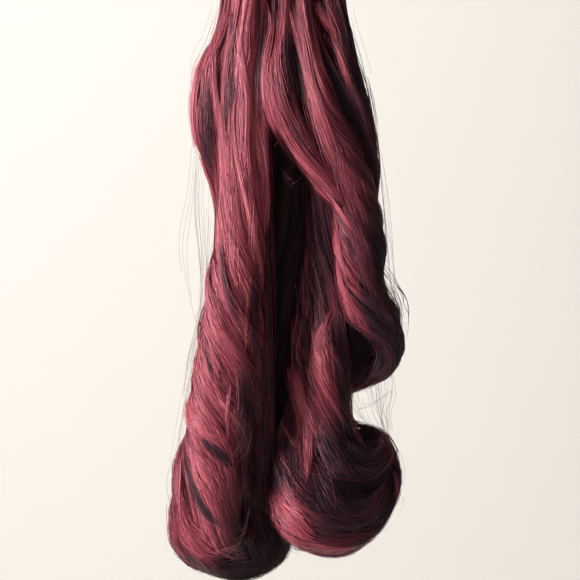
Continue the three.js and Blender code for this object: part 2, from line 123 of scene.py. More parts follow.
LOCKS["lock_left_outer"] = dict(ribs=5, groove=0.16, hang=[
    (0.0, -0.214, -0.025, 0.044, 0.02),
    (0.07, -0.222, -0.06, 0.046, 0.07),
    (0.147, -0.22, -0.1, 0.052, 0.1),
    (0.199, -0.242, -0.12, 0.058, 0.12),
    (0.245, -0.294, -0.13, 0.075, 0.13),
    (0.28, -0.31, -0.13, 0.078, 0.13, 0, 0, -10),
    (0.32, -0.316, -0.13, 0.074, 0.13, 0, 0, -20),
    (0.353, -0.316, -0.12, 0.07, 0.12, 0, 0, -30),
    (0.374, -0.304, -0.12, 0.062, 0.11, 0, 0, -40),
    (0.4, -0.294, -0.11, 0.05, 0.1, 0, 0, -50),
    (0.43, -0.283, -0.1, 0.03, 0.08, 0, 0, -60),
    (0.47, -0.28, -0.08, 0.01, 0.03, 0, 0, -70),
])
LOCKS["lock_right_outer"] = dict(ribs=5, groove=0.16, hang=[
    (0.0, 0.2, -0.025, 0.056, 0.02),
    (0.07, 0.192, -0.07, 0.06, 0.06),
    (0.147, 0.183, -0.1, 0.067, 0.1),
    (0.199, 0.227, -0.12, 0.06, 0.12),
    (0.249, 0.258, -0.13, 0.058, 0.13, 0, 0, -10),
    (0.294, 0.3, -0.13, 0.052, 0.13, 0, 0, -20),
    (0.338, 0.335, -0.11, 0.045, 0.12, 0, 0, -30),
    (0.385, 0.362, -0.08, 0.034, 0.1, 0, 0, -40),
    (0.42, 0.374, -0.05, 0.02, 0.07, 0, 0, -50),
    (0.45, 0.378, -0.02, 0.008, 0.03, 0, 0, -60),
])
LOCKS["lock_right_lower"] = dict(ribs=6, groove=0.14, hang=[
    (0.0, 0.105, 0.025, 0.045, 0.02),
    (0.07, 0.115, 0.03, 0.06, 0.05),
    (0.147, 0.125, 0.02, 0.07, 0.08),
    (0.235, 0.138, 0.02, 0.075, 0.09),
    (0.324, 0.155, 0.02, 0.08, 0.1),
    (0.412, 0.17, 0.02, 0.085, 0.1, 0, 0, -10),
    (0.5, 0.172, 0.02, 0.085, 0.11, 0, 0, -40),
    (0.588, 0.19, 0.01, 0.08, 0.13, 0, 5, -80),
    (0.64, 0.185, 0.01, 0.088, 0.15, 0, 10, -110),
    (0.69, 0.178, 0.01, 0.1, 0.17, 0, 15, -150),
    (0.74, 0.185, 0.01, 0.098, 0.18, 0, 20, -190),
    (0.78, 0.2, 0.01, 0.096, 0.19, 0, 25, -220),
], curl=RIGHT_CURL, wind=[
    (205, 0.05, 0.6, 0.95, -0.3, -245),
    (240, 0.04, 0.5, 1.05, -0.6, -270),
    (270, 0.03, 0.47, 1.05, -0.8, -290),
    (315, 0.04, 0.56, 1.05, -0.8, -320),
    (360, 0.1, 0.75, 1.0, -0.7, -345),
    (405, 0.15, 0.7, 0.7, -0.4, -370),
    (435, 0.3, 0.6, 0.4, -0.1, -380),
])
LOCKS["lock_left_inner"] = dict(ribs=5, groove=0.16, hang=[
    (0.0, -0.026, 0.025, 0.033, 0.02),
    (0.07, -0.03, -0.02, 0.038, 0.06),
    (0.147, -0.036, -0.1, 0.043, 0.1),
    (0.194, -0.045, -0.1, 0.036, 0.1),
    (0.24, -0.07, -0.06, 0.042, 0.1),
    (0.324, -0.09, -0.03, 0.05, 0.11),
    (0.44, -0.092, -0.02, 0.054, 0.12, 0, 0, -10),
    (0.53, -0.088, -0.02, 0.056, 0.13, 0, 0, -30),
    (0.66, -0.088, -0.03, 0.06, 0.14, 0, 0, -60),
    (0.78, -0.108, -0.02, 0.08, 0.14, 0, 0, -90),
    (0.85, -0.114, 0.0, 0.086, 0.12, 0, 0, -110),
    (0.9, -0.11, 0.02, 0.04, 0.06, 0, 0, -120),
])
LOCKS["lock_left_curl"] = dict(ribs=6, groove=0.14, hang=[
    (0.0, -0.17, 0.025, 0.088, 0.02),
    (0.07, -0.17, 0.06, 0.095, 0.06),
    (0.147, -0.17, 0.09, 0.11, 0.1),
    (0.235, -0.19, 0.11, 0.13, 0.13),
    (0.324, -0.195, 0.12, 0.14, 0.15),
    (0.412, -0.185, 0.13, 0.13, 0.16, 0, 0, 10),
    (0.5, -0.185, 0.13, 0.12, 0.17, 0, 0, 20),
    (0.588, -0.2, 0.13, 0.125, 0.18, 0, 0, 10),
    (0.662, -0.215, 0.12, 0.14, 0.19, 0, 5, -20),
    (0.735, -0.24, 0.1, 0.155, 0.2, 0, 12, -60),
    (0.785, -0.275, 0.07, 0.165, 0.2, 0, 22, -100),
    (0.83, -0.32, 0.03, 0.178, 0.2, 0, 32, -130),
], curl=LEFT_CURL, wind=[
    (195, 0.15, 1.16, 0.25, -1.0, -160),
    (230, 0.25, 1.12, 0.85, -1.0, -190),
    (270, 0.3, 1.08, 1.16, -1.0, -210),
    (308, 0.3, 1.3, 1.42, -0.95, -230),
    (345, 0.35, 1.05, 1.1, -0.8, -250),
    (400, 0.4, 0.8, 0.7, -0.6, -270),
    (430, 0.5, 0.8, 0.3, -0.2, -280),
])
LOCKS["lock_right_curl"] = dict(ribs=6, groove=0.14, hang=[
    (0.0, 0.205, 0.025, 0.055, 0.02),
    (0.07, 0.2, 0.07, 0.07, 0.06),
    (0.147, 0.18, 0.1, 0.085, 0.1),
    (0.235, 0.2, 0.13, 0.115, 0.13),
    (0.324, 0.225, 0.15, 0.14, 0.15),
    (0.412, 0.235, 0.17, 0.14, 0.16),
    (0.5, 0.21, 0.18, 0.135, 0.17, 0, 0, -20),
    (0.588, 0.19, 0.18, 0.165, 0.18, 0, 3, -60),
    (0.65, 0.22, 0.18, 0.222, 0.19, 0, 8, -110),
    (0.69, 0.19, 0.17, 0.2, 0.2, 0, 12, -140),
    (0.75, 0.13, 0.15, 0.138, 0.21, 0, 20, -190),
], curl=RIGHT_CURL, wind=[
    (205, 0.1, 1.1, 0.5, -1.0, -240),
    (237, 0.25, 1.15, 0.95, -1.0, -270),
    (270, 0.35, 1.05, 1.0, -1.0, -300),
    (315, 0.35, 0.93, 0.92, -1.0, -340),
    (360, 0.35, 0.92, 0.85, -0.9, -380),
    (405, 0.4, 1.05, 0.7, -0.8, -410),
    (450, 0.5, 0.9, 0.5, -0.6, -440),
])
LOCKS["lock_back_centre"] = dict(ribs=6, groove=0.14, hang=[
    (0.0, 0.02, 0.025, 0.05, 0.02),
    (0.07, 0.02, 0.1, 0.08, 0.06),
    (0.147, 0.02, 0.17, 0.095, 0.09),
    (0.235, 0.02, 0.23, 0.11, 0.12),
    (0.412, 0.03, 0.28, 0.125, 0.14, 0, 0, 20),
    (0.588, 0.01, 0.3, 0.12, 0.15, 0, 0, 60),
    (0.735, -0.01, 0.32, 0.11, 0.15, 0, 0, 110),
    (0.82, -0.02, 0.34, 0.085, 0.13, 0, 0, 150),
    (0.87, -0.03, 0.35, 0.05, 0.09, 0, 0, 180),
    (0.9, -0.035, 0.34, 0.015, 0.03, 0, 0, 200),
])

# How each lock is dressed: strands, sheaves, the tone of its hair from 0, near-black, to 1, lit burgundy.
# The low tones of the right-hand locks and of the back centre lock are partly their own dark hair, partly
# painted shade.
DRESS = {
    "lock_right_inner": dict(strands=520, sheaves=11, tone=0.6, seed=3),
    "lock_right_front": dict(strands=1250, sheaves=17, tone=0.4, seed=5),
    "lock_left_front": dict(strands=1700, sheaves=27, tone=0.78, seed=7),
    "lock_left_outer": dict(strands=460, sheaves=11, tone=0.68, seed=11),
    "lock_right_outer": dict(strands=440, sheaves=11, tone=0.25, seed=13),
    "lock_right_lower": dict(strands=1050, sheaves=17, tone=0.52, seed=17),
    "lock_left_inner": dict(strands=380, sheaves=9, tone=0.24, seed=19),
    "lock_left_curl": dict(strands=1080, sheaves=22, tone=0.5, seed=23),
    "lock_right_curl": dict(strands=1150, sheaves=22, tone=0.4, seed=29),
    "lock_back_centre": dict(strands=500, sheaves=15, tone=0.07, seed=31),
}

# How finely a lock and its hair are worked out
ROW_STEPS = 40  # steps of a lock's curve for each row of its table
RIM_POINTS = 8  # points of a section's outside whose travel counts
FINE = 480  # places along a lock's own curve
STATIONS = 42  # places along a strand
CORE_ROUND = 46  # corners round a lock's core
CORE_ALONG = 80

# A lock's surface under its hair, in millimetres and shares
CORE_INSET = 2.4
CORE_TONE = 0.1
LEAST_HALF = 9  # half sizes under this take an inset as if they had it
INSET_SHARES = (0.15, 2)
ROOT_DEEP = 0.9  # how far the hair's roots go up into the band

# Which hair is hidden in a lock in front: within these shares of its half sizes
CORE_HIDDEN = 0.72
STRAND_HIDDEN = 0.86
SEARCH_STEP = 4  # only every so many places of the lock's curve are tried
SEARCH_REACH = 45
SEARCH_ENDS = 3  # places beyond a lock's ends that still count as inside
SEARCH_CHUNK = 30000

# A flat strand's width in millimetres and how its normals round it
STRAND_WIDTH = 0.44
STRAND_WIDTHS = (0.75, 1.3)
LOOSE_WIDTHS = (0.7, 1.2)
STRAND_TILT = 0.52  # to its sides
STRAND_FACING = 0.6  # outwards
STRAND_ROLL = 0.28  # how far strands turn about their own paths, in radians
STRAND_MAP = 0.8  # the share of its strip of the map that a strand takes up
TAPER = 0.07  # the share of a strand's length that thins out
THINNEST = 0.25

# Sheaves of a lock: shares of the pitch between them, or millimetres
SLOW_WAVE = 130  # the length of hair in one slow wave
SHEAF_JITTER = 0.3
SHEAF_SUNK = 0.6
SHEAF_SPREAD = 0.85
SHEAF_DOME = 0.8  # how far the sides of a sheaf fall away
DOME_END = 1.4
RIDER_SHARE = 0.3  # of the sheaves, which ride over the others
RIDER_WANDER = 2.2
RIDER_LIFT = 0.7

# Tufts of a sheaf, and the strands in them
TUFT_STRANDS = 6  # strands that keep together and share a tone
LOOSE_TUFTS = 0.6  # the share of tufts that fill the ground between the sheaves
LOOSE_SIDE = 1.6
LOOSE_DEEP = (0.3, 1.6)
TUFT_SIDE = 0.6
TUFT_DEEP = 0.4
STRAND_SIDE = 0.2
STRAND_DEEP = 0.3
STRAND_PROUD = 0.6  # the most that a strand stands up from the lock's surface
SHORT_ENDS = (1.1, 7, 0.22)  # how early strands end: two shape numbers and the most
SMALL_TURN = 0.02

# Tones
SHEAF_TONE = 0.08
TUFT_TONE = 0.07
STRAND_TONE = 0.08
LEAST_TONE = 0.03
DEEP_SHADE = 0.07  # how much darker a strand is, as painted shade, for each millimetre beyond DEEP_FROM
DEEP_FROM = 1.5
DEEP_MOST = 3
DARK_NOISE = 0.25  # how much of the random tone shows in the darkest hair
NOISE_GROWTH = 1.2

# Smooth random changes along the hair: waves to one slow wave, or to one sheaf or single hair, and their size
CHANGES = dict(
    sheaf_wander=((0.5, 1), 0.35),
    sheaf_depth=((0.6, 1.3), 0.45),
    sheaf_spread=((1,), 0.25),
    sheaf_tone=((0.8, 1.7), 0.09),
    tuft_tone=((0.9, 2.2), 0.08),
    tuft_side=((0.7, 1.6), 0.3),
    strand_side=((1, 2.6), 0.1),
    strand_depth=((1.5, 4), 0.2),
    strand_wave=((3, 7), 0.16),
    strand_tone=((1.5, 5), 0.05),
    sweep_side=((0.6, 1.4), 0.16),
    sweep_tone=((0.7, 1.8), 0.06),
    free_across=((0.6, 1.3), 0.5),
    free_depth=((0.5, 1.2), 0.5),
    free_turn=((1, 2.4), 0.05),
)
CHANGE_PACES = (0.7, 1.3)
CHANGE_SIZES = (0.4, 1)

# The view from the front in which patches, sweeps and single hairs are placed: millimetres a pixel at the
# object's middle, the camera's distance, and the place that the middle of the view looks at
PIXEL = 0.8
VIEW_MIDDLE = 290
VIEW_AWAY = 1933.3
VIEW_ACROSS = 4.0
VIEW_HEIGHT = -328.3


def spline(values, places):
    """The smooth curve through the rows that the part's source uses."""
    values = np.asarray(values, float)
    last = len(values) - 1
    start = np.minimum(np.floor(places).astype(int), last - 1)
    t = places - start
    if values.ndim > 1:
        t = t[:, None]
    a, b, c, d = (values[np.clip(start + k, 0, last)] for k in (-1, 0, 1, 2))
    return 0.5 * (2 * b + t * (c - a) + t**2 * (2 * a - 5 * b + 4 * c - d) + t**3 * (3 * b - a - 3 * c + d))


def unit(v):
    return v / np.maximum(np.linalg.norm(v, axis=-1, keepdims=True), 1e-9)


def hair_point(down, across, depth):
    return np.array((across * HAIR_WIDTH, depth * HAIR_DEPTH, -WEFT_HEIGHT - SEAT_GAP - down * HAIR_FALL))


def hanging_section(row):
    down, across, depth, wide, thick, lean, turn, lay = (*row, 0, 0, 0)[:8]
    lean, turn = math.radians(lean), math.radians(turn)
    side = (math.cos(lean) * math.cos(turn), math.cos(lean) * math.sin(turn), -math.sin(lean))
    front = (math.sin(turn), -math.cos(turn), 0)
    halves = (wide * HAIR_WIDTH, thick * HAIR_DEPTH)
    return [*hair_point(down, across, depth), *side, *front, *halves, math.radians(lay), 1.0]


def curl_axes(curl):
    swing, tip = math.radians(curl["swing"]), math.radians(curl["tip"])
    along = np.array((math.cos(tip) * math.sin(swing), -math.cos(tip) * math.cos(swing), math.sin(tip)))
    right = unit(np.array((1.0, 0, 0)) - along * along[0])
    return along, right, np.cross(along, right)


def wound_section(curl, row):
    angle, inner, outer, near, far, lay = row
    along, right, up = curl_axes(curl)
    angle = math.radians(angle)
    outward = right * math.cos(angle) + up * math.sin(angle)
    radius, half = curl["radius"], curl["length"] / 2
    side, rise = curl["side"] * radius, curl["rise"] * radius
    across = side * math.cos(angle) + rise * math.sin(angle)
    reach = math.sqrt(across**2 + radius**2 - side**2 - rise**2) - across - CURL_HOLE
    inner, outer = CURL_HOLE + inner * reach, CURL_HOLE + outer * reach
    point = hair_point(curl["down"], curl["across"], curl["depth"]) + right * side + up * rise
    point = point + outward * (inner + outer) / 2 + along * (near + far) / 2 * half
    halves = ((outer - inner) / 2, (near - far) / 2 * half)
    return [*point, *-outward, *along, *halves, math.radians(lay), WOUND_FULLNESS]


class Lock:
    """One lock as a tube of sections, read by a share of its length."""

    def __init__(self, name):
        lock = LOCKS[name]
        self.name = name
        self.ribs = lock["ribs"]
        self.groove = lock["groove"]
        rows = [hanging_section(row) for row in lock["hang"]]
        rows += [wound_section(lock["curl"], row) for row in lock.get("wind", ())]
        places = np.linspace(0, len(rows) - 1, ROW_STEPS * len(rows))
        values = spline(rows, places)
        values[:, 3:6] = unit(values[:, 3:6])
        values[:, 6:9] = unit(values[:, 6:9])
        # The length of a step is what the section's outside travels, not its middle alone.
        travel = np.zeros(len(places) - 1)
        for angle in np.linspace(0, 2 * np.pi, RIM_POINTS, endpoint=False):
            aside = values[:, 3:6] * values[:, 9:10] * math.cos(angle)
            ahead = values[:, 6:9] * values[:, 10:11] * math.sin(angle)
            rim = values[:, 0:3] + aside + ahead
            travel += np.linalg.norm(np.diff(rim, axis=0), axis=1) / RIM_POINTS
        travel = np.concatenate(([0], np.cumsum(travel)))
        self.length = travel[-1]
        share = np.linspace(0, travel[-1], FINE)
        self.values = np.stack([np.interp(share, travel, column) for column in values.T], axis=1)

    def at(self, v):
        """The sections at shares v of the length, with the columns last."""
        place = np.clip(v, 0, 1) * (FINE - 1)
        low = np.minimum(place.astype(int), FINE - 2)
        t = (place - low)[..., None]
        return self.values[low] * (1 - t) + self.values[low + 1] * t

    def surface(self, v, angle, inset):
        """Points at the strand angle and so many millimetres under the lock's surface."""
        s = self.at(v)
        wide, thick, lay, full = s[..., 9], s[..., 10], s[..., 11], s[..., 12]
        place = np.mod(angle * self.ribs / (2 * np.pi), 1)
        rib = np.floor(np.mod(angle, 2 * np.pi) * self.ribs / (2 * np.pi))
        deep = 1 - RIB_SPREAD + RIB_SPREAD * np.sin(RIB_CHANGE * rib)
        share = 1 - self.groove * deep * (0.5 + 0.5 * np.cos(2 * np.pi * place))
        least = np.maximum(np.minimum(wide, thick), LEAST_HALF)
        share = share * np.clip(1 - inset / least, *INSET_SHARES)
        aside, ahead = np.cos(angle + lay), np.sin(angle + lay)
        aside = np.sign(aside) * np.abs(aside) ** full
        ahead = np.sign(ahead) * np.abs(ahead) ** full
        to_side = s[..., 3:6] * (wide * share * aside)[..., None]
        to_front = s[..., 6:9] * (thick * share * ahead)[..., None]
        return s[..., 0:3] + to_side + to_front

    def holds(self, points, share):
        """Which points lie inside the lock, within a share of its half sizes."""
        s = self.values[::SEARCH_STEP]
        flat = points.reshape(-1, 3)
        low, high = s[:, 0:3].min(0) - SEARCH_REACH, s[:, 0:3].max(0) + SEARCH_REACH
        inside = np.zeros(len(flat), bool)
        near = np.where(((flat > low) & (flat < high)).all(1))[0]
        most_off = SEARCH_ENDS * self.length / len(s)
        for chunk in np.array_split(near, max(1, len(near) // SEARCH_CHUNK)):
            p = flat[chunk].astype(np.float32)
            c = s[:, 0:3].astype(np.float32)
            gap = (p**2).sum(1)[:, None] + (c**2).sum(1)[None] - 2 * p @ c.T
            best = s[gap.argmin(1)]
            away = p - best[:, 0:3]
            a = (away * best[:, 3:6]).sum(1) / best[:, 9]
            b = (away * best[:, 6:9]).sum(1) / best[:, 10]
            off = (away * np.cross(best[:, 3:6], best[:, 6:9])).sum(1)
            power = 2 / best[:, 12]
            within = np.abs(a) ** power + np.abs(b) ** power < share**power
            inside[chunk] = within & (np.abs(off) < most_off)
        return inside.reshape(points.shape[:-1])


def drift(rng, count, v, change, turns=1):
    """A named smooth random change along v for each of count things."""
    waves, size = CHANGES[change]
    v = np.broadcast_to(v, (count, v.shape[-1]))
    total = np.zeros(v.shape)
    for wave in waves:
        phase = rng.uniform(0, 2 * np.pi, (count, 1))
        pace = wave * turns * rng.uniform(*CHANGE_PACES, (count, 1))
        total += rng.uniform(*CHANGE_SIZES, (count, 1)) * np.sin(2 * np.pi * pace * v + phase)
    return size * total / len(waves) ** 0.5


def rolled(rng, across, facing):
    """The ways that flat strands lie, each turned a little about its path."""
    roll = rng.normal(0, STRAND_ROLL, (len(across), 1, 1))
    return unit(across) * np.cos(roll) + unit(facing) * np.sin(roll)


def noise_share(tones):
    """How much of the random tone shows: less in dark hair."""
    return np.clip(DARK_NOISE + NOISE_GROWTH * tones, DARK_NOISE, 1)


def to_view(points):
    """The pixels of the view from the front at which points show."""
    scale = VIEW_AWAY / (VIEW_AWAY + points[..., 1]) / PIXEL
    px = VIEW_MIDDLE + (points[..., 0] - VIEW_ACROSS) * scale
    return px, VIEW_MIDDLE - (points[..., 2] - VIEW_HEIGHT) * scale


def from_view(px, py, depth):
    """The points that show at pixels of the view from the front, at a depth in millimetres."""
    scale = PIXEL * (VIEW_AWAY + depth) / VIEW_AWAY
    across, down = (px - VIEW_MIDDLE) * scale, (py - VIEW_MIDDLE) * scale
    return np.stack((VIEW_ACROSS + across, depth, VIEW_HEIGHT - down), axis=-1)


def tone_and_shade_at(points, name):
    """How much darker or lighter the hair is in patches: partly where the real one's colour changes, partly
    painted shade and painted highlights.
    """
    px, py = to_view(points)
    tone = np.zeros(px.shape)
    for across, down, wide, tall, change in TONE_AND_SHADE_PATCHES.get(name, ()):
        tone += change * np.exp(-(((px - across) / wide) ** 2) - ((py - down) / tall) ** 2)
    return tone


# Patches of lighter or darker hair, as pixels of a view from the front: middle, half sizes and change.
# Many patches are painted shade on the locks' shadowed sides and in hollows, and some are painted highlights;
# the rest follow the hair's own colour.
TONE_AND_SHADE_PATCHES = {
    "lock_left_front": [
        (258, 320, 10, 110, -0.35),
        (248, 410, 13, 60, -0.35),
        (238, 525, 20, 50, -0.4),
        (261, 20, 9, 50, -0.45),
        (225, 430, 20, 24, -0.15),
        (216, 475, 16, 26, -0.15),
        (256, 510, 22, 66, -0.6),
        (228, 115, 5, 22, -0.35),
        (228, 270, 6, 50, -0.25),
        (232, 60, 5, 40, -0.25),
        (247, 180, 5, 50, -0.2),
        (242, 90, 5, 60, 0.1),
        (238, 232, 20, 50, 0.06),
        (208, 375, 20, 50, -0.07),
    ],
    "lock_left_curl": [
        (196, 535, 20, 26, 0.2),
        (264, 530, 34, 70, -0.65),
        (230, 572, 40, 14, -0.3),
    ],
    "lock_left_outer": [(208, 144, 7, 36, -0.5), (197, 80, 10, 40, 0.1)],
    "lock_left_inner": [(270, 25, 8, 40, 0.35)],
    "lock_right_front": [
        (350, 350, 14, 20, -0.4),
        (385, 250, 13, 90, -0.22),
        (318, 110, 8, 80, 0.5),
        (300, 24, 7, 40, 0.35),
        (336, 246, 9, 22, 0.25),
        (347, 290, 9, 24, 0.25),
        (378, 280, 16, 60, -0.36),
        (392, 350, 26, 34, -0.42),
    ],
    "lock_right_inner": [(294, 70, 6, 24, -0.6), (300, 150, 12, 40, 0.1)],
    "lock_right_outer": [(358, 100, 9, 70, -0.24), (330, 14, 10, 20, 0.3)],
    "lock_right_lower": [
        (324, 360, 8, 34, 0.3),
        (305, 408, 8, 36, 0.3),
        (318, 250, 18, 80, -0.42),
        (300, 480, 12, 30, -0.15),
        (360, 455, 34, 34, -0.42),
        (345, 372, 11, 62, -0.34),
        (335, 468, 20, 34, -0.26),
    ],
    "lock_right_curl": [
        (345, 100, 14, 70, -0.6),
        (288, 514, 18, 26, 0.45),
        (298, 430, 8, 50, 0.2),
        (360, 350, 20, 40, -0.4),
        (340, 545, 44, 14, 0.1),
        (366, 480, 44, 54, -0.3),
        (332, 498, 22, 40, -0.24),
        (275, 468, 9, 26, -0.4),
    ],
}


class Shape:
    """Vertices, quads and what goes with them, put together into one mesh."""

    def __init__(self):
        self.points, self.faces, self.normals = [], [], []
        self.tones, self.maps, self.slots = [], [], []
        self.count = 0

    def add(self, points, faces, normals, tones, maps, slot):
        self.points.append(points)
        self.faces.append(faces + self.count)
        self.normals.append(normals)
        self.tones.append(tones)
        self.maps.append(maps)
        self.slots.append(np.full(len(faces), slot))
        self.count += len(points)

    def build(self, name, materials):
        """The mesh of the faces, without the vertices that none of them uses."""
        points = np.concatenate(self.points).astype(np.float32) * MM
        faces = np.concatenate(self.faces).astype(np.int32)
        used = np.unique(faces)
        renumber = np.zeros(len(points), np.int32)
        renumber[used] = np.arange(len(used))
        points, faces = points[used], renumber[faces]
        mesh = bpy.data.meshes.new(name)
        mesh.vertices.add(len(points))
        mesh.vertices.foreach_set("co", points.ravel())
        mesh.loops.add(faces.size)
        mesh.loops.foreach_set("vertex_index", faces.ravel())
        mesh.polygons.add(len(faces))
        mesh.polygons.foreach_set("loop_start", np.arange(0, faces.size, 4, dtype=np.int32))
        mesh.update(calc_edges=True)
        mesh.polygons.foreach_set("material_index", np.concatenate(self.slots).astype(np.int32))
        layer = mesh.uv_layers.new(name="OFBake")
        maps = np.concatenate(self.maps)[used][faces.ravel()]
        layer.data.foreach_set("uv", maps.astype(np.float32).ravel())
        tone = mesh.attributes.new("tone", "FLOAT", "POINT")
        tone.data.foreach_set("value", np.concatenate(self.tones)[used].astype(np.float32))
        for material in materials:
            mesh.materials.append(material)
        mesh.polygons.foreach_set("use_smooth", np.ones(len(faces), bool))
        mesh.normals_split_custom_set_from_vertices(unit(np.concatenate(self.normals)[used]).tolist())
        obj = bpy.data.objects.new(name, mesh)
        bpy.context.scene.collection.objects.link(obj)
        return obj


def add_tube(shape, points, tone, slot, maps, keep=None):
    """Quads over closed rings of points, turned outwards. The array keep says which of them are made."""
    rows, count = points.shape[:2]
    number = np.arange(rows * count).reshape(rows, count)
    after = np.roll(number, -1, axis=1)
    faces = np.stack((number[:-1], number[1:], after[1:], after[:-1]), axis=-1).reshape(-1, 4)
    flat = points.reshape(-1, 3)
    a, b, c, d = (flat[faces[:, k]] for k in range(4))
    face = np.cross(c - a, d - b)
    normals = np.zeros(flat.shape)
    for k in range(4):
        np.add.at(normals, faces[:, k], face)
    normals = unit(normals)
    middle = np.repeat(points.mean(1, keepdims=True), count, axis=1).reshape(-1, 3)
    if ((flat - middle) * normals).sum() < 0:
        faces, normals = faces[:, ::-1], -normals
    if keep is not None:
        faces = faces[keep.ravel()]
    shape.add(flat, faces, normals, np.full(len(flat), tone), maps.reshape(-1, 2), slot)


def add_ribbons(shape, paths, across, outward, width, tones, order=None, seen=None):
    """A flat strand along each path where it is seen, with normals that turn to its sides to round it."""
    count, steps = paths.shape[:2]
    order = np.arange(count) if order is None else order
    seen = np.ones((count, steps), bool) if seen is None else seen
    along = unit(np.gradient(paths, axis=1))
    across = unit(across - along * (across * along).sum(-1, keepdims=True))
    normal = np.cross(across, along)
    flip = np.sign((normal * outward).sum(-1, keepdims=True))
    normal = normal * np.where(flip == 0, 1, flip)
    half = across * (width / 2)[..., None]
    points = np.stack((paths - half, paths + half), axis=2)
    facing, tilt = normal * STRAND_FACING, across * STRAND_TILT
    normals = np.stack((facing - tilt, facing + tilt), axis=2)
    number = np.arange(count * steps * 2).reshape(count, steps, 2)
    faces = np.stack((number[:, :-1, 0], number[:, :-1, 1], number[:, 1:, 1], number[:, 1:, 0]), axis=-1)
    keep = seen[:, :-1] & seen[:, 1:]
    u = (order / count)[:, None, None] + np.array((0, STRAND_MAP)) / count
    v = np.linspace(0, 1, steps)[None, :, None]
    maps = np.stack(np.broadcast_arrays(u, np.broadcast_to(v, (count, steps, 2))), axis=-1)
    shape.add(
        points.reshape(-1, 3),
        faces[keep].reshape(-1, 4),
        normals.reshape(-1, 3),
        np.repeat(tones.reshape(-1), 2),
        maps.reshape(-1, 2),
        slot=0,
    )


def ring_places(along, around):
    """For each point of a tube's rings, the share of the tube's length and the angle round it."""
    angles = np.linspace(0, 2 * np.pi, around, endpoint=False)
    return np.meshgrid(np.linspace(0, 1, along), angles, indexing="ij")


def add_core(shape, lock, in_front):
    """The hair inside a lock, coloured dark as painted shade: its own form a little under the strands."""
    v, angle = ring_places(CORE_ALONG, CORE_ROUND)
    points = lock.surface(v, angle, np.full(v.shape, CORE_INSET))
    points[0, :, 2] = ROOT_DEEP - WEFT_HEIGHT
    hidden = np.zeros(v.shape, bool)
    for other in in_front:
        hidden |= other.holds(points, CORE_HIDDEN)
    covered = hidden[:-1] & hidden[1:]
    covered &= np.roll(covered, -1, axis=1)
    maps = np.stack((angle / (2 * np.pi), v), axis=-1)
    add_tube(shape, points, CORE_TONE, 1, maps, ~covered)


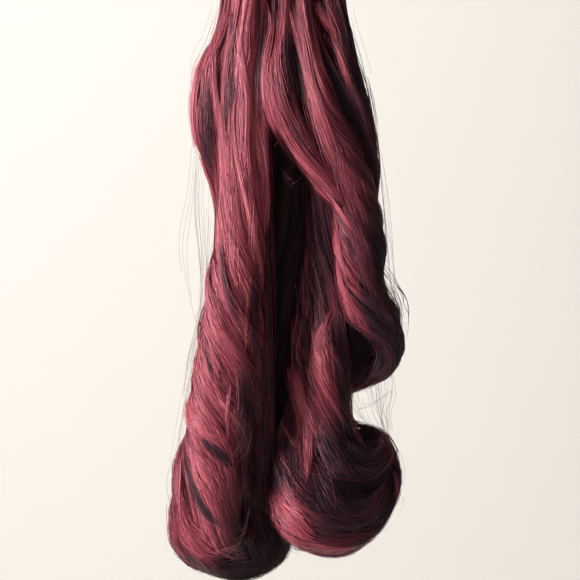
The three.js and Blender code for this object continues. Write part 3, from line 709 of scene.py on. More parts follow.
def lock_strands(lock, dress, in_front):
    """The paths of a lock's strands, gathered in sheaves that wander and ride over each other."""
    rng = np.random.default_rng(dress["seed"])
    count, sheaves = dress["strands"], dress["sheaves"]
    grid = np.linspace(0, 1, STATIONS)[None]
    turns = lock.length / SLOW_WAVE
    pitch = 2 * np.pi / sheaves
    middle = pitch * (np.arange(sheaves)[:, None] + rng.uniform(-SHEAF_JITTER, SHEAF_JITTER, (sheaves, 1)))
    rider = rng.uniform(0, 1, (sheaves, 1)) < RIDER_SHARE
    wander = pitch * drift(rng, sheaves, grid, "sheaf_wander", turns)
    middle = middle + wander * np.where(rider, RIDER_WANDER, 1)
    sunk = SHEAF_SUNK + drift(rng, sheaves, grid, "sheaf_depth", turns) - RIDER_LIFT * rider
    spread = SHEAF_SPREAD * pitch * (1 + drift(rng, sheaves, grid, "sheaf_spread", turns))
    sheaf_tone = rng.normal(0, SHEAF_TONE, (sheaves, 1)) + drift(rng, sheaves, grid, "sheaf_tone", turns)

    tufts = count // TUFT_STRANDS
    tuft_tone = rng.normal(0, TUFT_TONE, (tufts, 1)) + drift(rng, tufts, grid, "tuft_tone", turns)
    tuft_side = drift(rng, tufts, grid, "tuft_side", turns)
    tuft_sheaf = rng.integers(0, sheaves, tufts)
    loose = rng.uniform(0, 1, tufts) < LOOSE_TUFTS
    tuft_beside = rng.uniform(-LOOSE_SIDE, LOOSE_SIDE, tufts)
    tuft_beside = np.where(loose, tuft_beside, rng.normal(0, TUFT_SIDE, tufts))
    tuft_deep = np.where(loose, rng.uniform(*LOOSE_DEEP, tufts), rng.exponential(TUFT_DEEP, tufts))
    which_tuft = rng.integers(0, tufts, count)
    which = tuft_sheaf[which_tuft]
    first, second, most = SHORT_ENDS
    v = grid * (1 - rng.beta(first, second, (count, 1)) * most)
    step = v * (STATIONS - 1)
    low = np.minimum(step.astype(int), STATIONS - 2)
    part = step - low

    def along_strand(values, rows):
        rows = np.broadcast_to(values, (len(values), STATIONS))[rows]
        a = np.take_along_axis(rows, low, axis=1)
        b = np.take_along_axis(rows, low + 1, axis=1)
        return a * (1 - part) + b * part

    beside = tuft_beside[which_tuft][:, None] + rng.normal(0, STRAND_SIDE, (count, 1))
    beside = beside + along_strand(tuft_side, which_tuft) + drift(rng, count, v, "strand_side", turns)
    angle = along_strand(middle, which) + along_strand(spread, which) * beside
    inset = along_strand(sunk, which) + SHEAF_DOME * np.minimum(beside**2, DOME_END)
    inset = inset + tuft_deep[which_tuft][:, None] + rng.exponential(STRAND_DEEP, (count, 1))
    inset = np.maximum(inset + drift(rng, count, v, "strand_depth", turns), -STRAND_PROUD)
    paths = lock.surface(v, angle, inset)
    wave = drift(rng, count, v, "strand_wave", turns)
    across = lock.surface(v, angle + SMALL_TURN, inset) - lock.surface(v, angle - SMALL_TURN, inset)
    out = lock.surface(v, angle, inset - 1) - paths
    paths = paths + unit(across) * wave[..., None]
    paths[:, 0, 2] = ROOT_DEEP - WEFT_HEIGHT
    across = rolled(rng, across, out)
    hidden = np.zeros(v.shape, bool)
    for other in in_front:
        hidden |= other.holds(paths, STRAND_HIDDEN)
    taper = np.clip((1 - grid) / TAPER, THINNEST, 1)
    width = STRAND_WIDTH * rng.uniform(*STRAND_WIDTHS, (count, 1)) * taper
    # The lock's tone with its patches of own colour, painted shade and painted highlights.
    tones = dress["tone"] + tone_and_shade_at(paths, lock.name)
    noise = along_strand(sheaf_tone, which) + along_strand(tuft_tone, which_tuft)
    noise = noise + rng.normal(0, STRAND_TONE, (count, 1)) + drift(rng, count, v, "strand_tone", turns)
    # Strands deep in a lock are darkened as painted shade.
    noise = noise - DEEP_SHADE * np.clip(inset - DEEP_FROM, 0, DEEP_MOST)
    tones = np.clip(np.maximum(tones, LEAST_TONE) + noise * noise_share(tones), 0, 1)
    order = np.argsort(np.argsort(angle[:, 0]))
    return paths, across, out, width, tones, order, ~hidden


def linear(r, g, b):
    """A colour that is given as the screen shows it."""
    shares = (r / 255, g / 255, b / 255)
    return tuple(c / 12.92 if c <= 0.04045 else ((c + 0.055) / 1.055) ** 2.4 for c in shares) + (1.0,)


def set_inputs(node, values):
    for name, value in values.items():
        node.inputs[name].default_value = value


def material(name, values):
    """A new material with the shader's values by name, and its nodes, links and shader."""
    made = bpy.data.materials.new(name)
    made.use_nodes = True
    shader = made.node_tree.nodes["Principled BSDF"]
    set_inputs(shader, values)
    return made, made.node_tree.nodes, made.node_tree.links, shader


def ramp_node(nodes, stops):
    node = nodes.new("ShaderNodeValToRGB")
    ramp = node.color_ramp
    while len(ramp.elements) < len(stops):
        ramp.elements.new(0.5)
    for element, (place, colour) in zip(ramp.elements, stops):
        element.position = place
        element.color = linear(*colour)
    return node


def ranged(nodes, links, value, socket, low, high, top=1.0):
    """Sets a socket from low to high as a value goes from 0 to top."""
    node = nodes.new("ShaderNodeMapRange")
    set_inputs(node, {"From Max": top, "To Min": low, "To Max": high})
    links.new(value, node.inputs["Value"])
    links.new(node.outputs["Result"], socket)


def coloured(nodes, links, shader, value, stops):
    """Colours a material by a value."""
    ramp = ramp_node(nodes, stops)
    links.new(value, ramp.inputs["Fac"])
    links.new(ramp.outputs["Color"], shader.inputs["Base Color"])


def noise_value(nodes, links, place, scale, detail=2.0):
    noise = nodes.new("ShaderNodeTexNoise")
    set_inputs(noise, {"Scale": scale, "Detail": detail})
    links.new(place, noise.inputs["Vector"])
    return noise.outputs["Fac"]


HAIR_STOPS = [
    (0.0, (29, 23, 28)),
    (0.25, (62, 33, 44)),
    (0.5, (116, 43, 56)),
    (0.75, (157, 69, 83)),
    (1.0, (197, 111, 123)),
]
# The core's dark colours are painted shade of the hair deep inside a lock.
INNER_SHADE_STOPS = [(0.3, (20, 15, 19)), (0.55, (38, 21, 27)), (0.8, (70, 31, 39))]
HAIR_TINT = linear(244, 196, 200)
HAIR_SHINE = (0.12, 0.55, 0.42)  # in near-black hair, in lit hair, and the tone from which it is full
INNER_STREAKS = (260, 5, 1)  # how many streaks go round and along a lock


def hair_material():
    made, nodes, links, shader = material("burgundy_hair", {"Roughness": 0.36, "Specular Tint": HAIR_TINT})
    tone = nodes.new("ShaderNodeAttribute")
    tone.attribute_name = "tone"
    coloured(nodes, links, shader, tone.outputs["Fac"], HAIR_STOPS)
    ranged(nodes, links, tone.outputs["Fac"], shader.inputs["Specular IOR Level"], *HAIR_SHINE)
    return made


def core_material():
    made, nodes, links, shader = material("inner_hair", {"Roughness": 0.7, "Specular IOR Level": 0.2})
    place = nodes.new("ShaderNodeUVMap")
    place.uv_map = "OFBake"
    stretch = nodes.new("ShaderNodeMapping")
    stretch.inputs["Scale"].default_value = INNER_STREAKS
    links.new(place.outputs["UV"], stretch.inputs["Vector"])
    streak = noise_value(nodes, links, stretch.outputs["Vector"], 1.0, 3.0)
    coloured(nodes, links, shader, streak, INNER_SHADE_STOPS)
    return made


hair = hair_material()
inner_hair = core_material()
locks = {name: Lock(name) for name in LOCKS}

in_front = []
for name, lock in locks.items():
    shape = Shape()
    add_core(shape, lock, in_front)
    add_ribbons(shape, *lock_strands(lock, DRESS[name], in_front))
    piece = shape.build(name.replace("lock", "hair"), (hair, inner_hair))
    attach(piece, "root")
    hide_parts(name)
    in_front.append(lock)


# Sheaves that lie over the locks where they show from the front: strands, tone, how far they stand up in
# millimetres, and pixels of that view with half the sheaf's width.
# Their tones are partly the hair's own light and dark streaks, partly painted highlights and painted shade in
# hollows, creases and shadowed sides.
SWEEPS = [
    (60, 0.8, 1.0, [(221, 2, 3), (215, 36, 3), (213, 60, 3), (214, 85, 3), (217, 110, 3), (222, 135, 3),
        (225, 160, 3), (227, 195, 2), (228, 230, 2)]),
    (40, 0.76, 0.8, [(209, 44, 2), (198, 66, 3), (194, 85, 3), (192, 108, 3), (193, 130, 2), (198, 155, 2)]),
    (70, 0.22, 0.5, [(208, 66, 3), (206, 90, 6), (206, 120, 8), (208, 150, 7), (211, 180, 4)]),
    (14, 0.79, 0.8, [(199, 152, 1), (205, 170, 1.5), (211, 187, 1.5), (215, 204, 1)]),
    (60, 0.77, 1.0, [(240, 0, 4), (239, 30, 4), (241, 55, 4), (245, 78, 4), (248, 98, 4), (248, 125, 4),
        (246, 160, 4), (243, 200, 4)]),
    (24, 0.18, 0.5, [(231, 8, 2), (233, 30, 3), (234, 48, 2)]),
    (50, 0.22, 0.5, [(231, 62, 3), (232, 85, 6), (230, 105, 5), (227, 128, 1.5)]),
    (80, 0.72, 0.8, [(232, 118, 2), (230, 145, 5), (229, 175, 8), (232, 205, 9), (234, 235, 9)]),
    (90, 0.28, 0.6, [(258, 0, 8), (262, 30, 8), (260, 60, 6), (258, 85, 5), (259, 110, 4), (262, 135, 3)]),
    (50, 0.76, 1.2, [(268, 0, 3), (272, 24, 3), (269, 44, 4), (265, 66, 4), (265, 90, 5), (270, 115, 5),
        (279, 137, 5), (291, 158, 4), (303, 174, 3)]),
    (60, 0.2, 0.5, [(287, 18, 3), (288, 45, 6), (292, 75, 6), (297, 100, 5)]),
    (90, 0.75, 1.4, [(292, 0, 8), (297, 24, 7), (303, 50, 6), (309, 78, 5), (316, 104, 6), (324, 130, 7),
        (333, 156, 7), (343, 184, 6)]),
    (90, 0.0, 0.6, [(312, 12, 1), (320, 45, 2.5), (330, 72, 5), (340, 95, 6), (352, 120, 7), (361, 145, 6),
        (367, 168, 1)]),
    (50, 0.52, 1.0, [(330, 34, 4), (341, 60, 5), (350, 84, 4), (358, 104, 3)]),
    (80, 0.5, 0.8, [(338, 140, 5), (345, 165, 9), (354, 195, 10), (366, 228, 9)]),
    (40, 0.79, 1.2, [(284, 140, 3), (299, 165, 4), (316, 187, 4), (334, 204, 3), (349, 226, 2),
        (358, 245, 1)]),
    (40, 0.6, 1.0, [(336, 216, 1.5), (336, 236, 2.5), (340, 258, 3), (347, 284, 2)]),
    (70, 0.78, 1.2, [(336, 256, 1), (339, 276, 3), (345, 298, 4), (352, 318, 4), (362, 338, 1.5)]),
    (50, 0.72, 1.0, [(209, 262, 1.5), (207, 285, 3), (213, 310, 6), (226, 338, 7), (243, 362, 5)]),
    (40, 0.23, 0.8, [(219, 236, 1.5), (222, 262, 3), (228, 292, 4), (236, 318, 4), (246, 345, 2)]),
    (40, 0.77, 1.0, [(232, 215, 3), (232, 240, 5), (233, 265, 5), (238, 290, 3)]),
    (50, 0.8, 1.0, [(252, 190, 4), (253, 220, 5), (253, 250, 5), (255, 275, 3)]),
    (60, 0.68, 1.2, [(201, 342, 2), (203, 360, 5), (210, 382, 7), (221, 402, 4)]),
    (50, 0.7, 1.4, [(202, 328, 3), (210, 349, 6), (220, 371, 6), (232, 392, 3)]),
    (24, 0.18, 1.2, [(204, 346, 1.5), (209, 365, 2.5), (214, 388, 1.5)]),
    (16, 0.18, 1.2, [(214, 350, 1), (219, 370, 1.5), (222, 386, 1)]),
    (50, 0.76, 1.2, [(187, 398, 2), (192, 416, 4), (204, 432, 4), (222, 437, 2)]),
    (20, 0.72, 1.2, [(230, 382, 2), (228, 405, 2), (227, 425, 2), (228, 442, 1)]),
    (90, 0.1, 1.6, [(199, 428, 1.5), (206, 442, 4), (215, 452, 6), (227, 462, 5), (240, 471, 2)]),
    (100, 0.1, 1.8, [(187, 460, 1.5), (192, 482, 3), (200, 503, 5), (210, 518, 6), (222, 530, 2)]),
    (3, 0.62, 2.0, [(242, 471, 0.4), (224, 483, 0.5), (219, 498, 0.5), (231, 519, 0.4)]),
    (90, 0.0, 0.5, [(352, 318, 3), (356, 340, 9), (359, 362, 8), (352, 386, 3)]),
    (70, 0.18, 0.8, [(293, 390, 3), (289, 415, 7), (288, 445, 9), (290, 475, 8), (294, 498, 4)]),
    (60, 0.66, 1.0, [(300, 540, 3), (318, 547, 4), (338, 550, 4), (360, 546, 2)]),
    (50, 0.0, 1.2, [(330, 462, 1), (338, 475, 2.5), (352, 484, 3), (368, 486, 3), (382, 479, 2.5),
        (392, 464, 1)]),
    (30, 0.4, 1.0, [(393, 470, 1.5), (398, 488, 2.5), (395, 508, 2)]),
    (60, 0.6, 1.0, [(334, 306, 3), (326, 322, 4), (320, 340, 5), (321, 362, 6), (326, 384, 3)]),
    (80, 0.83, 1.3, [(314, 328, 3), (317, 346, 6), (323, 368, 6), (331, 390, 3)]),
    (90, 0.83, 1.4, [(290, 362, 3), (297, 384, 6), (302, 404, 7), (310, 424, 6), (318, 440, 3)]),
    (60, 0.82, 1.5, [(304, 404, 4), (306, 424, 6), (307, 444, 6), (307, 464, 5), (306, 486, 3)]),
    (30, 0.12, 1.5, [(298, 346, 1), (303, 364, 2), (309, 384, 2), (318, 402, 1)]),
    (90, 0.16, 1.5, [(338, 296, 2), (338, 322, 5), (341, 350, 6), (344, 378, 6), (346, 402, 5),
        (350, 418, 2)]),
    (10, 0.75, 1.4, [(281, 416, 3), (288, 434, 3), (298, 450, 2)]),
    (8, 0.7, 1.4, [(279, 446, 2), (285, 464, 3), (296, 482, 2)]),
    (90, 0.13, 1.0, [(318, 418, 3), (326, 440, 8), (338, 462, 10), (352, 480, 9), (368, 488, 5)]),
    (110, 0.16, 1.0, [(314, 462, 4), (321, 486, 9), (334, 506, 11), (352, 520, 9), (370, 524, 5)]),
    (110, 0.61, 1.1, [(276, 502, 3), (283, 514, 8), (293, 524, 10), (305, 534, 8), (316, 540, 4)]),
    (50, 0.05, 1.0, [(270, 436, 3), (272, 456, 4), (275, 476, 4), (282, 492, 2)]),
    (60, 0.62, 0.9, [(279, 530, 2), (289, 539, 4), (303, 546, 4), (318, 549, 2)]),
    (80, 0.1, 0.9, [(346, 421, 2), (358, 424, 2.5), (373, 429, 3), (386, 440, 4), (395, 455, 3),
        (398, 470, 2)]),
    (90, 0.06, 0.6, [(345, 408, 2), (350, 421, 4), (356, 432, 6), (364, 444, 6), (374, 450, 3)]),
    (70, 0.0, 0.4, [(353, 427, 3), (360, 433, 5), (369, 437, 6), (380, 440, 4)]),
    (70, 0.1, 0.9, [(351, 434, 2), (354, 447, 4), (364, 456, 5), (377, 454, 5), (386, 444, 3)]),
    (60, 0.14, 0.8, [(350, 462, 3), (362, 472, 5), (376, 472, 5), (389, 462, 4), (396, 450, 2)]),
    (70, 0.2, 0.8, [(352, 520, 4), (368, 516, 7), (382, 504, 8), (391, 486, 5)]),
    (110, 0.2, 0.9, [(366, 256, 6), (376, 282, 11), (386, 306, 13), (394, 330, 9), (396, 348, 4)]),
    (110, 0.36, 0.9, [(345, 206, 3), (356, 230, 7), (364, 256, 8), (372, 284, 8), (379, 306, 5)]),
    (60, 0.6, 1.3, [(345, 290, 3), (353, 308, 5), (363, 326, 6), (374, 344, 3)]),
    (80, 0.09, 0.9, [(372, 322, 6), (386, 342, 9), (391, 360, 6), (382, 372, 4), (366, 382, 3)]),
    (36, 0.55, 1.0, [(314, 0, 5), (322, 14, 5), (331, 30, 4), (338, 50, 2)]),
    (90, 0.26, 0.8, [(335, 45, 4), (347, 75, 6), (357, 98, 6), (366, 124, 5), (373, 152, 3)]),
    (60, 0.16, 0.6, [(350, 40, 3), (362, 80, 4), (370, 116, 4), (377, 150, 2)]),
    (70, 0.75, 1.3, [(185, 400, 2), (193, 416, 6), (204, 434, 7), (216, 452, 4)]),
    (110, 0.77, 1.4, [(184, 438, 3), (195, 454, 7), (207, 470, 10), (217, 489, 8), (226, 506, 4)]),
    (60, 0.52, 1.2, [(179, 460, 3), (178, 484, 4), (182, 505, 5), (190, 523, 4)]),
    (9, 0.76, 2.0, [(184, 438, 1), (181, 465, 1), (180, 500, 1.5), (183, 532, 1)]),
    (100, 0.66, 1.2, [(178, 508, 3), (184, 526, 8), (194, 542, 10), (208, 553, 8), (224, 556, 4)]),
    (12, 0.6, 1.4, [(212, 553, 1.5), (223, 551, 1.5), (233, 546, 1.5), (241, 537, 1)]),
    (80, 0.45, 0.9, [(172, 490, 2), (173, 515, 4), (177, 540, 5), (187, 560, 4)]),
    (80, 0.4, 1.2, [(229, 462, 3), (231, 482, 6), (233, 505, 7), (237, 528, 5)]),
    (90, 0.3, 2.0, [(241, 452, 4), (243, 480, 6), (245, 508, 7), (243, 536, 6)]),
    (130, 0.08, 1.0, [(250, 440, 6), (250, 470, 10), (250, 500, 12), (254, 530, 14), (262, 556, 12),
        (270, 574, 7)]),
    (90, 0.12, 0.9, [(214, 566, 4), (232, 568, 8), (252, 566, 9), (270, 558, 6)]),
    (90, 0.2, 1.0, [(240, 366, 5), (245, 392, 8), (246, 420, 9), (244, 450, 7)]),
    (60, 0.12, 0.9, [(256, 270, 3), (255, 300, 6), (254, 335, 7), (252, 370, 6)]),
    (12, 0.12, 0.5, [(242, 82, 1), (243, 94, 2), (241, 106, 1)]),
]
SWEEP_STATIONS = 22
SWEEP_SEED = 53
SWEEP_ENDS = 0.4  # the most of its sheaf's length that a strand leaves out at an end
SWEEP_SPREAD = 0.62  # how far strands lie from the sheaf's middle, as a share of its half width
SWEEP_SIDES = 0.6  # how much lower the sheaf is at its sides
SWEEP_ENDS_DEEP = 1.0  # how far its ends go under the hair there, in millimetres
SWEEP_DEEP = 0.25
SWEEP_EVEN = 3  # times that the ground's depth is evened out along a strand
SWEEP_TAPER = (4, 0.2)  # how fast a strand widens, and its least share
SWEEP_NOISE = 0.1
OWN_TONE = (1.25, 0.25, 1.7)  # how far a strand takes the sheaf's tone: middle, random part, rise at its ends
SIDE_SPLIT = 272  # the pixel that parts the left half's sheaves from the right half's
STEEPEST = 1.5  # the most that the ground under a sweep turns it aside

# The depth map of the hair in the view from the front, in pixels of it
MAP_LEFT, MAP_TOP, MAP_WIDE, MAP_TALL = 150, -30, 270, 620
MAP_ALONG, MAP_ROUND = 1300, 240  # points of each lock
MAP_INSET = 0.6
MAP_EMPTY = 90  # a depth behind all hair, in millimetres
MAP_BRIDGE = 6
MAP_BLUR = 3
BLUR_REACH = 1.6


def blurred(values, reach):
    """A map with each value spread over its neighbours."""
    weights = np.exp(-np.linspace(-BLUR_REACH, BLUR_REACH, 2 * reach + 1) ** 2)
    for axis in (0, 1):
        values = sum(w * np.roll(values, k - reach, axis) for k, w in enumerate(weights)) / weights.sum()
    return values


def bridged(depth, reach):
    """The map with the narrow hollows between locks filled to their rims."""
    for pick in (np.minimum, np.maximum):
        for axis in (0, 1):
            moved = depth
            for k in range(-reach, reach + 1):
                moved = pick(moved, np.roll(depth, k, axis))
            depth = moved
    return depth


def front_map():
    """How far forward the locks reach at each pixel, the slopes there and the hair's tone."""
    depth = np.full((MAP_TALL, MAP_WIDE), float(MAP_EMPTY))
    tone = np.zeros(depth.shape)
    rows, columns = np.mgrid[0:MAP_TALL, 0:MAP_WIDE]
    v, angle = np.meshgrid(np.linspace(0, 1, MAP_ALONG), np.linspace(0, 2 * np.pi, MAP_ROUND))
    for name, lock in locks.items():
        before = depth.copy()
        points = lock.surface(v, angle, np.full(v.shape, MAP_INSET))
        px, py = to_view(points)
        column = np.clip(np.rint(px - MAP_LEFT).astype(int), 0, MAP_WIDE - 1)
        row = np.clip(np.rint(py - MAP_TOP).astype(int), 0, MAP_TALL - 1)
        np.minimum.at(depth, (row, column), points[..., 1])
        own = DRESS[name]["tone"] + tone_and_shade_at(from_view(MAP_LEFT + columns, MAP_TOP + rows, depth), name)
        tone = np.where(depth < before, own, tone)
    depth = bridged(depth, MAP_BRIDGE)
    met = (depth < MAP_EMPTY - 1).astype(float)
    share = np.maximum(blurred(met, MAP_BLUR), 1e-3)
    depth, tone = (blurred(values * met, MAP_BLUR) / share for values in (depth, tone))
    down, across = np.gradient(blurred(depth, MAP_BLUR))
    slopes = np.clip((across / PIXEL, -down / PIXEL), -STEEPEST, STEEPEST)
    return np.stack((depth, *slopes, tone), axis=-1)


def read_map(values, px, py):
    """The map's values between its pixels."""
    x = np.clip(px - MAP_LEFT, 0, MAP_WIDE - 1.01)
    y = np.clip(py - MAP_TOP, 0, MAP_TALL - 1.01)
    i, j = y.astype(int), x.astype(int)
    s, t = (y - i)[..., None], (x - j)[..., None]
    top = values[i, j] * (1 - t) + values[i, j + 1] * t
    return top * (1 - s) + (values[i + 1, j] * (1 - t) + values[i + 1, j + 1] * t) * s


def add_sweeps():
    """The sheaves of the table, laid over the locks' fronts."""
    front = front_map()
    rng = np.random.default_rng(SWEEP_SEED)
    shapes = {"left": Shape(), "right": Shape()}
    grid = np.linspace(0, 1, SWEEP_STATIONS)[None]
    bow = np.sin(np.pi * grid)
    arch = bow**0.5
    widen, thin = SWEEP_TAPER
    own_middle, own_noise, own_ends = OWN_TONE
    for count, tone, lift, rows in SWEEPS:
        t = rng.uniform(0, SWEEP_ENDS, (count, 1)) * (1 - grid)
        t = t + (1 - rng.uniform(0, SWEEP_ENDS, (count, 1))) * grid
        guide = spline(rows, t.ravel() * (len(rows) - 1)).reshape(count, SWEEP_STATIONS, 3)
        run = unit(np.gradient(guide[..., :2], axis=1))
        beside = rng.normal(0, SWEEP_SPREAD, (count, 1)) + drift(rng, count, grid, "sweep_side")
        px = guide[..., 0] - run[..., 1] * beside * guide[..., 2]
        py = guide[..., 1] + run[..., 0] * beside * guide[..., 2]
        found = read_map(front, px, py)
        depth = found[..., 0]
        for _ in range(SWEEP_EVEN):
            inner = (depth[:, :-2] + depth[:, 1:-1] + depth[:, 2:]) / 3
            depth = np.concatenate((depth[:, :1], inner, depth[:, -1:]), axis=1)
        crown = 1 - SWEEP_SIDES * np.clip(np.abs(beside), 0, 1) ** 2
        rise = lift * crown * arch - SWEEP_ENDS_DEEP * (1 - arch)
        paths = from_view(px, py, depth - rise + rng.exponential(SWEEP_DEEP, (count, 1)))
        facing = unit(np.stack((found[..., 1], -np.ones(px.shape), found[..., 2]), axis=-1))
        across = rolled(rng, np.cross(unit(np.gradient(paths, axis=1)), facing), facing)
        width = STRAND_WIDTH * rng.uniform(*LOOSE_WIDTHS, (count, 1)) * np.clip(bow * widen, thin, 1)
        own = np.clip(own_middle - beside**2 + rng.normal(0, own_noise, (count, 1)), 0, 1)
        own = own * np.clip(own_ends * bow, 0, 1)
        tones = found[..., 3] * (1 - own) + tone * own
        noise = rng.normal(0, SWEEP_NOISE, (count, 1)) + drift(rng, count, grid, "sweep_tone")
        tones = np.clip(tones + noise * noise_share(tones), 0, 1)
        side = "left" if np.mean([row[0] for row in rows]) < SIDE_SPLIT else "right"
        add_ribbons(shapes[side], paths, across, facing, width, tones)
    for side, shape in shapes.items():
        piece = shape.build("sheaves_" + side, (hair,))
        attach(piece, "root")


add_sweeps()

# Single hairs that stand off the locks, as pixels of a view from the front and a depth in millimetres: how
# many, how far they spread, how much they wave, and the points they pass.
FREE_HAIRS = [
    (9, 3.5, 1.0, [(203, 120, -8), (197, 200, -12), (203, 290, -14), (190, 360, -16), (184, 410, -14)]),
    (6, 3.0, 1.5, [(208, 170, -10), (205, 240, -14), (199, 320, -16), (182, 410, -16), (172, 470, -12)]),
    (3, 4.0, 2.0, [(196, 130, -8), (190, 190, -10), (181, 250, -12), (196, 330, -14)]),
    (4, 3.0, 1.2, [(218, 0, -6), (206, 36, -8), (195, 62, -10), (192, 84, -12)]),
    (8, 3.0, 1.0, [(379, 150, -8), (386, 210, -10), (392, 270, -12), (394, 310, -10)]),
    (5, 3.0, 1.2, [(345, 0, -6), (354, 30, -8), (362, 60, -10), (370, 92, -12)]),
    (7, 3.0, 1.0, [(391, 372, -4), (391, 394, -6), (388, 416, -8), (392, 444, -8)]),
    (8, 4.5, 1.2, [(379, 376, -4), (380, 398, -6), (383, 420, -8), (391, 446, -8)]),
    (7, 5.0, 1.4, [(366, 382, -4), (370, 402, -6), (378, 420, -8), (388, 442, -8)]),
    (6, 3.0, 1.2, [(354, 386, -6), (355, 402, -8), (362, 416, -10), (374, 430, -10)]),
    (4, 2.0, 1.0, [(352, 388, -10), (350, 402, -12), (351, 416, -12), (354, 430, -12)]),
    (3, 3.0, 1.0, [(352, 412, -8), (366, 408, -8), (380, 402, -8), (393, 390, -6)]),
    (2, 2.0, 2.0, [(316, 440, -34), (330, 480, -48), (336, 515, -46), (332, 544, -30)]),
    (2, 3.0, 2.0, [(232, 440, -42), (224, 470, -44), (222, 500, -44), (238, 526, -36)]),
    (2, 2.0, 3.0, [(242, 405, -40), (250, 440, -40), (240, 462, -42), (214, 470, -40)]),
    (6, 2.0, 1.0, [(207, 448, -46), (220, 459, -46), (232, 458, -46), (242, 443, -44)]),
    (80, 2.8, 0.5, [(346, 408, -4), (352, 421, -4), (356, 434, -4), (364, 448, -4)]),
    (2, 2.5, 2.0, [(214, 560, -30), (236, 545, -36), (248, 522, -36), (250, 500, -30)]),
    (3, 4.0, 3.0, [(318, 552, -24), (352, 546, -30), (380, 524, -26), (400, 494, -20)]),
    (2, 4.0, 3.0, [(190, 548, -16), (176, 520, -18), (172, 480, -18), (184, 440, -20)]),
    (4, 5.0, 2.5, [(300, 250, -16), (306, 300, -18), (300, 350, -20), (304, 400, -26)]),
    (3, 4.0, 2.5, [(262, 250, -24), (268, 320, -24), (262, 400, -26), (256, 480, -26)]),
    (2, 1.0, 1.0, [(336, 24, -24), (325, 34, -26), (329, 46, -26), (338, 40, -24)]),
    (7, 2.4, 2.5, [(280, 169, -20), (286, 176, -22), (291, 182, -22), (295, 187, -20)]),
    (8, 9.0, 1.5, [(288, 142, -46), (298, 133, -48), (310, 122, -48), (322, 110, -44)]),
    (6, 8.0, 1.5, [(296, 176, -44), (308, 168, -46), (318, 158, -46), (330, 146, -44)]),
]
FREE_STATIONS = 28
FREE_SEED = 41
FREE_TONE = 0.3
FREE_NOISE = 0.14
FREE_WIDTH = 0.16
FREE_SHIFTS = (0.2, 0.6)  # how much of the spread moves each point of a hair, and the whole hair
FREE_STARTS, FREE_ENDS = (0, 0.25), (0.75, 1)

# Hairs that lift off a lock: strands to each of them, where they start, how long they are as shares of the
# lock, how far they stand off in millimetres, how much of an arch they make, and how far they turn round it
LIFTED_EVERY = 14
LIFTED_STARTS = (0.05, 0.75)
LIFTED_LENGTHS = (0.12, 0.3)
LIFTED_HEIGHTS = (0.5, 3.6)
LIFTED_ARCHES = (0.5, 1)
LIFTED_TURN = 0.35


def free_paths(rng):
    """Hairs on a table's paths, and hairs that lift off the locks and come back or end free."""
    paths, facing, tones = [], [], []
    grid = np.linspace(0, 1, FREE_STATIONS)
    each, whole = FREE_SHIFTS
    for count, spread, wave, points in FREE_HAIRS:
        rows = from_view(*np.array(points, float).T)
        for _ in range(count):
            moved = rows + rng.normal(0, spread * each, rows.shape) + rng.normal(0, spread * whole, 3)
            low, high = rng.uniform(*FREE_STARTS), rng.uniform(*FREE_ENDS)
            path = spline(moved, np.linspace(low, high, FREE_STATIONS) * (len(rows) - 1))
            path[:, 0] += wave * drift(rng, 1, grid, "free_across")[0]
            path[:, 1] += wave * drift(rng, 1, grid, "free_depth")[0]
            paths.append(path)
            facing.append(np.tile((0.0, -1.0, 0.0), (FREE_STATIONS, 1)))
            tones.append(FREE_TONE)
    for name, lock in locks.items():
        count = DRESS[name]["strands"] // LIFTED_EVERY
        start = rng.uniform(*LIFTED_STARTS, (count, 1))
        v = np.minimum(start + rng.uniform(*LIFTED_LENGTHS, (count, 1)) * grid, 1)
        angle = rng.uniform(0, 2 * np.pi, (count, 1)) + rng.normal(0, LIFTED_TURN, (count, 1)) * grid
        angle = angle + drift(rng, count, grid, "free_turn")
        lift = rng.uniform(*LIFTED_HEIGHTS, (count, 1))
        lift = lift * np.sin(np.pi * grid * rng.uniform(*LIFTED_ARCHES, (count, 1)))
        path = lock.surface(v, angle, -lift)
        facing.extend(unit(lock.surface(v, angle, -lift - 1) - path))
        paths.extend(path)
        tones.extend([DRESS[name]["tone"]] * count)
    return np.array(paths), np.array(facing), np.array(tones)


def add_free_hairs():
    rng = np.random.default_rng(FREE_SEED)
    paths, facing, tones = free_paths(rng)
    count = len(paths)
    even = np.ones((1, FREE_STATIONS))
    width = FREE_WIDTH * rng.uniform(*LOOSE_WIDTHS, (count, 1)) * even
    tones = np.clip(tones[:, None] + rng.normal(0, FREE_NOISE, (count, 1)), 0, 1) * even
    shape = Shape()
    across = np.cross(unit(np.gradient(paths, axis=1)), facing)
    add_ribbons(shape, paths, across, facing, width, tones)
    piece = shape.build("flyaway_hairs", (hair,))
    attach(piece, "root")


add_free_hairs()


# The sewn band: cloth drawn in along its rows of stitches, with threads over its top edge
STITCH_ROWS = (-3.6, -8.0, -12.4)
STITCH_PITCH = 3.2
STITCH_GAP = 0.2  # between a stitch's end and the hole that it goes into
STITCH_POINTS = 6
STITCH_ARCH = 0.35
STITCH_SINK = 0.95
STITCH_ENDS = 3  # from the band's ends to the first and last stitch
STITCH_RADIUS = 0.28
OVER_PITCH = 2.0
OVER_REACH = (0.12, 0.88)  # shares of the half turn over the top that a thread makes
OVER_POINTS = 11
OVER_SLANT = 0.5
OVER_GROW = 0.05
OVER_LOWEST = -3.0
OVER_RADIUS = 0.24
OVER_CORNERS = 5
THREAD_CORNERS = 6
THREAD_END = 0.15  # the share of its radius that a thread has at its ends
THREAD_SIDE = (0.31, 0.2, 0.93)  # a direction that no thread takes
BAND_ALONG = 200
BAND_ROUND = 48
BAND_POWER = 0.34  # how square the band's section is
BAND_TONE = 0.5
BAND_END = 3  # the length over which an end closes
BAND_CLOSE = 0.92
BAND_EDGE = 0.35  # how far the cloth keeps inside the solid's top and bottom
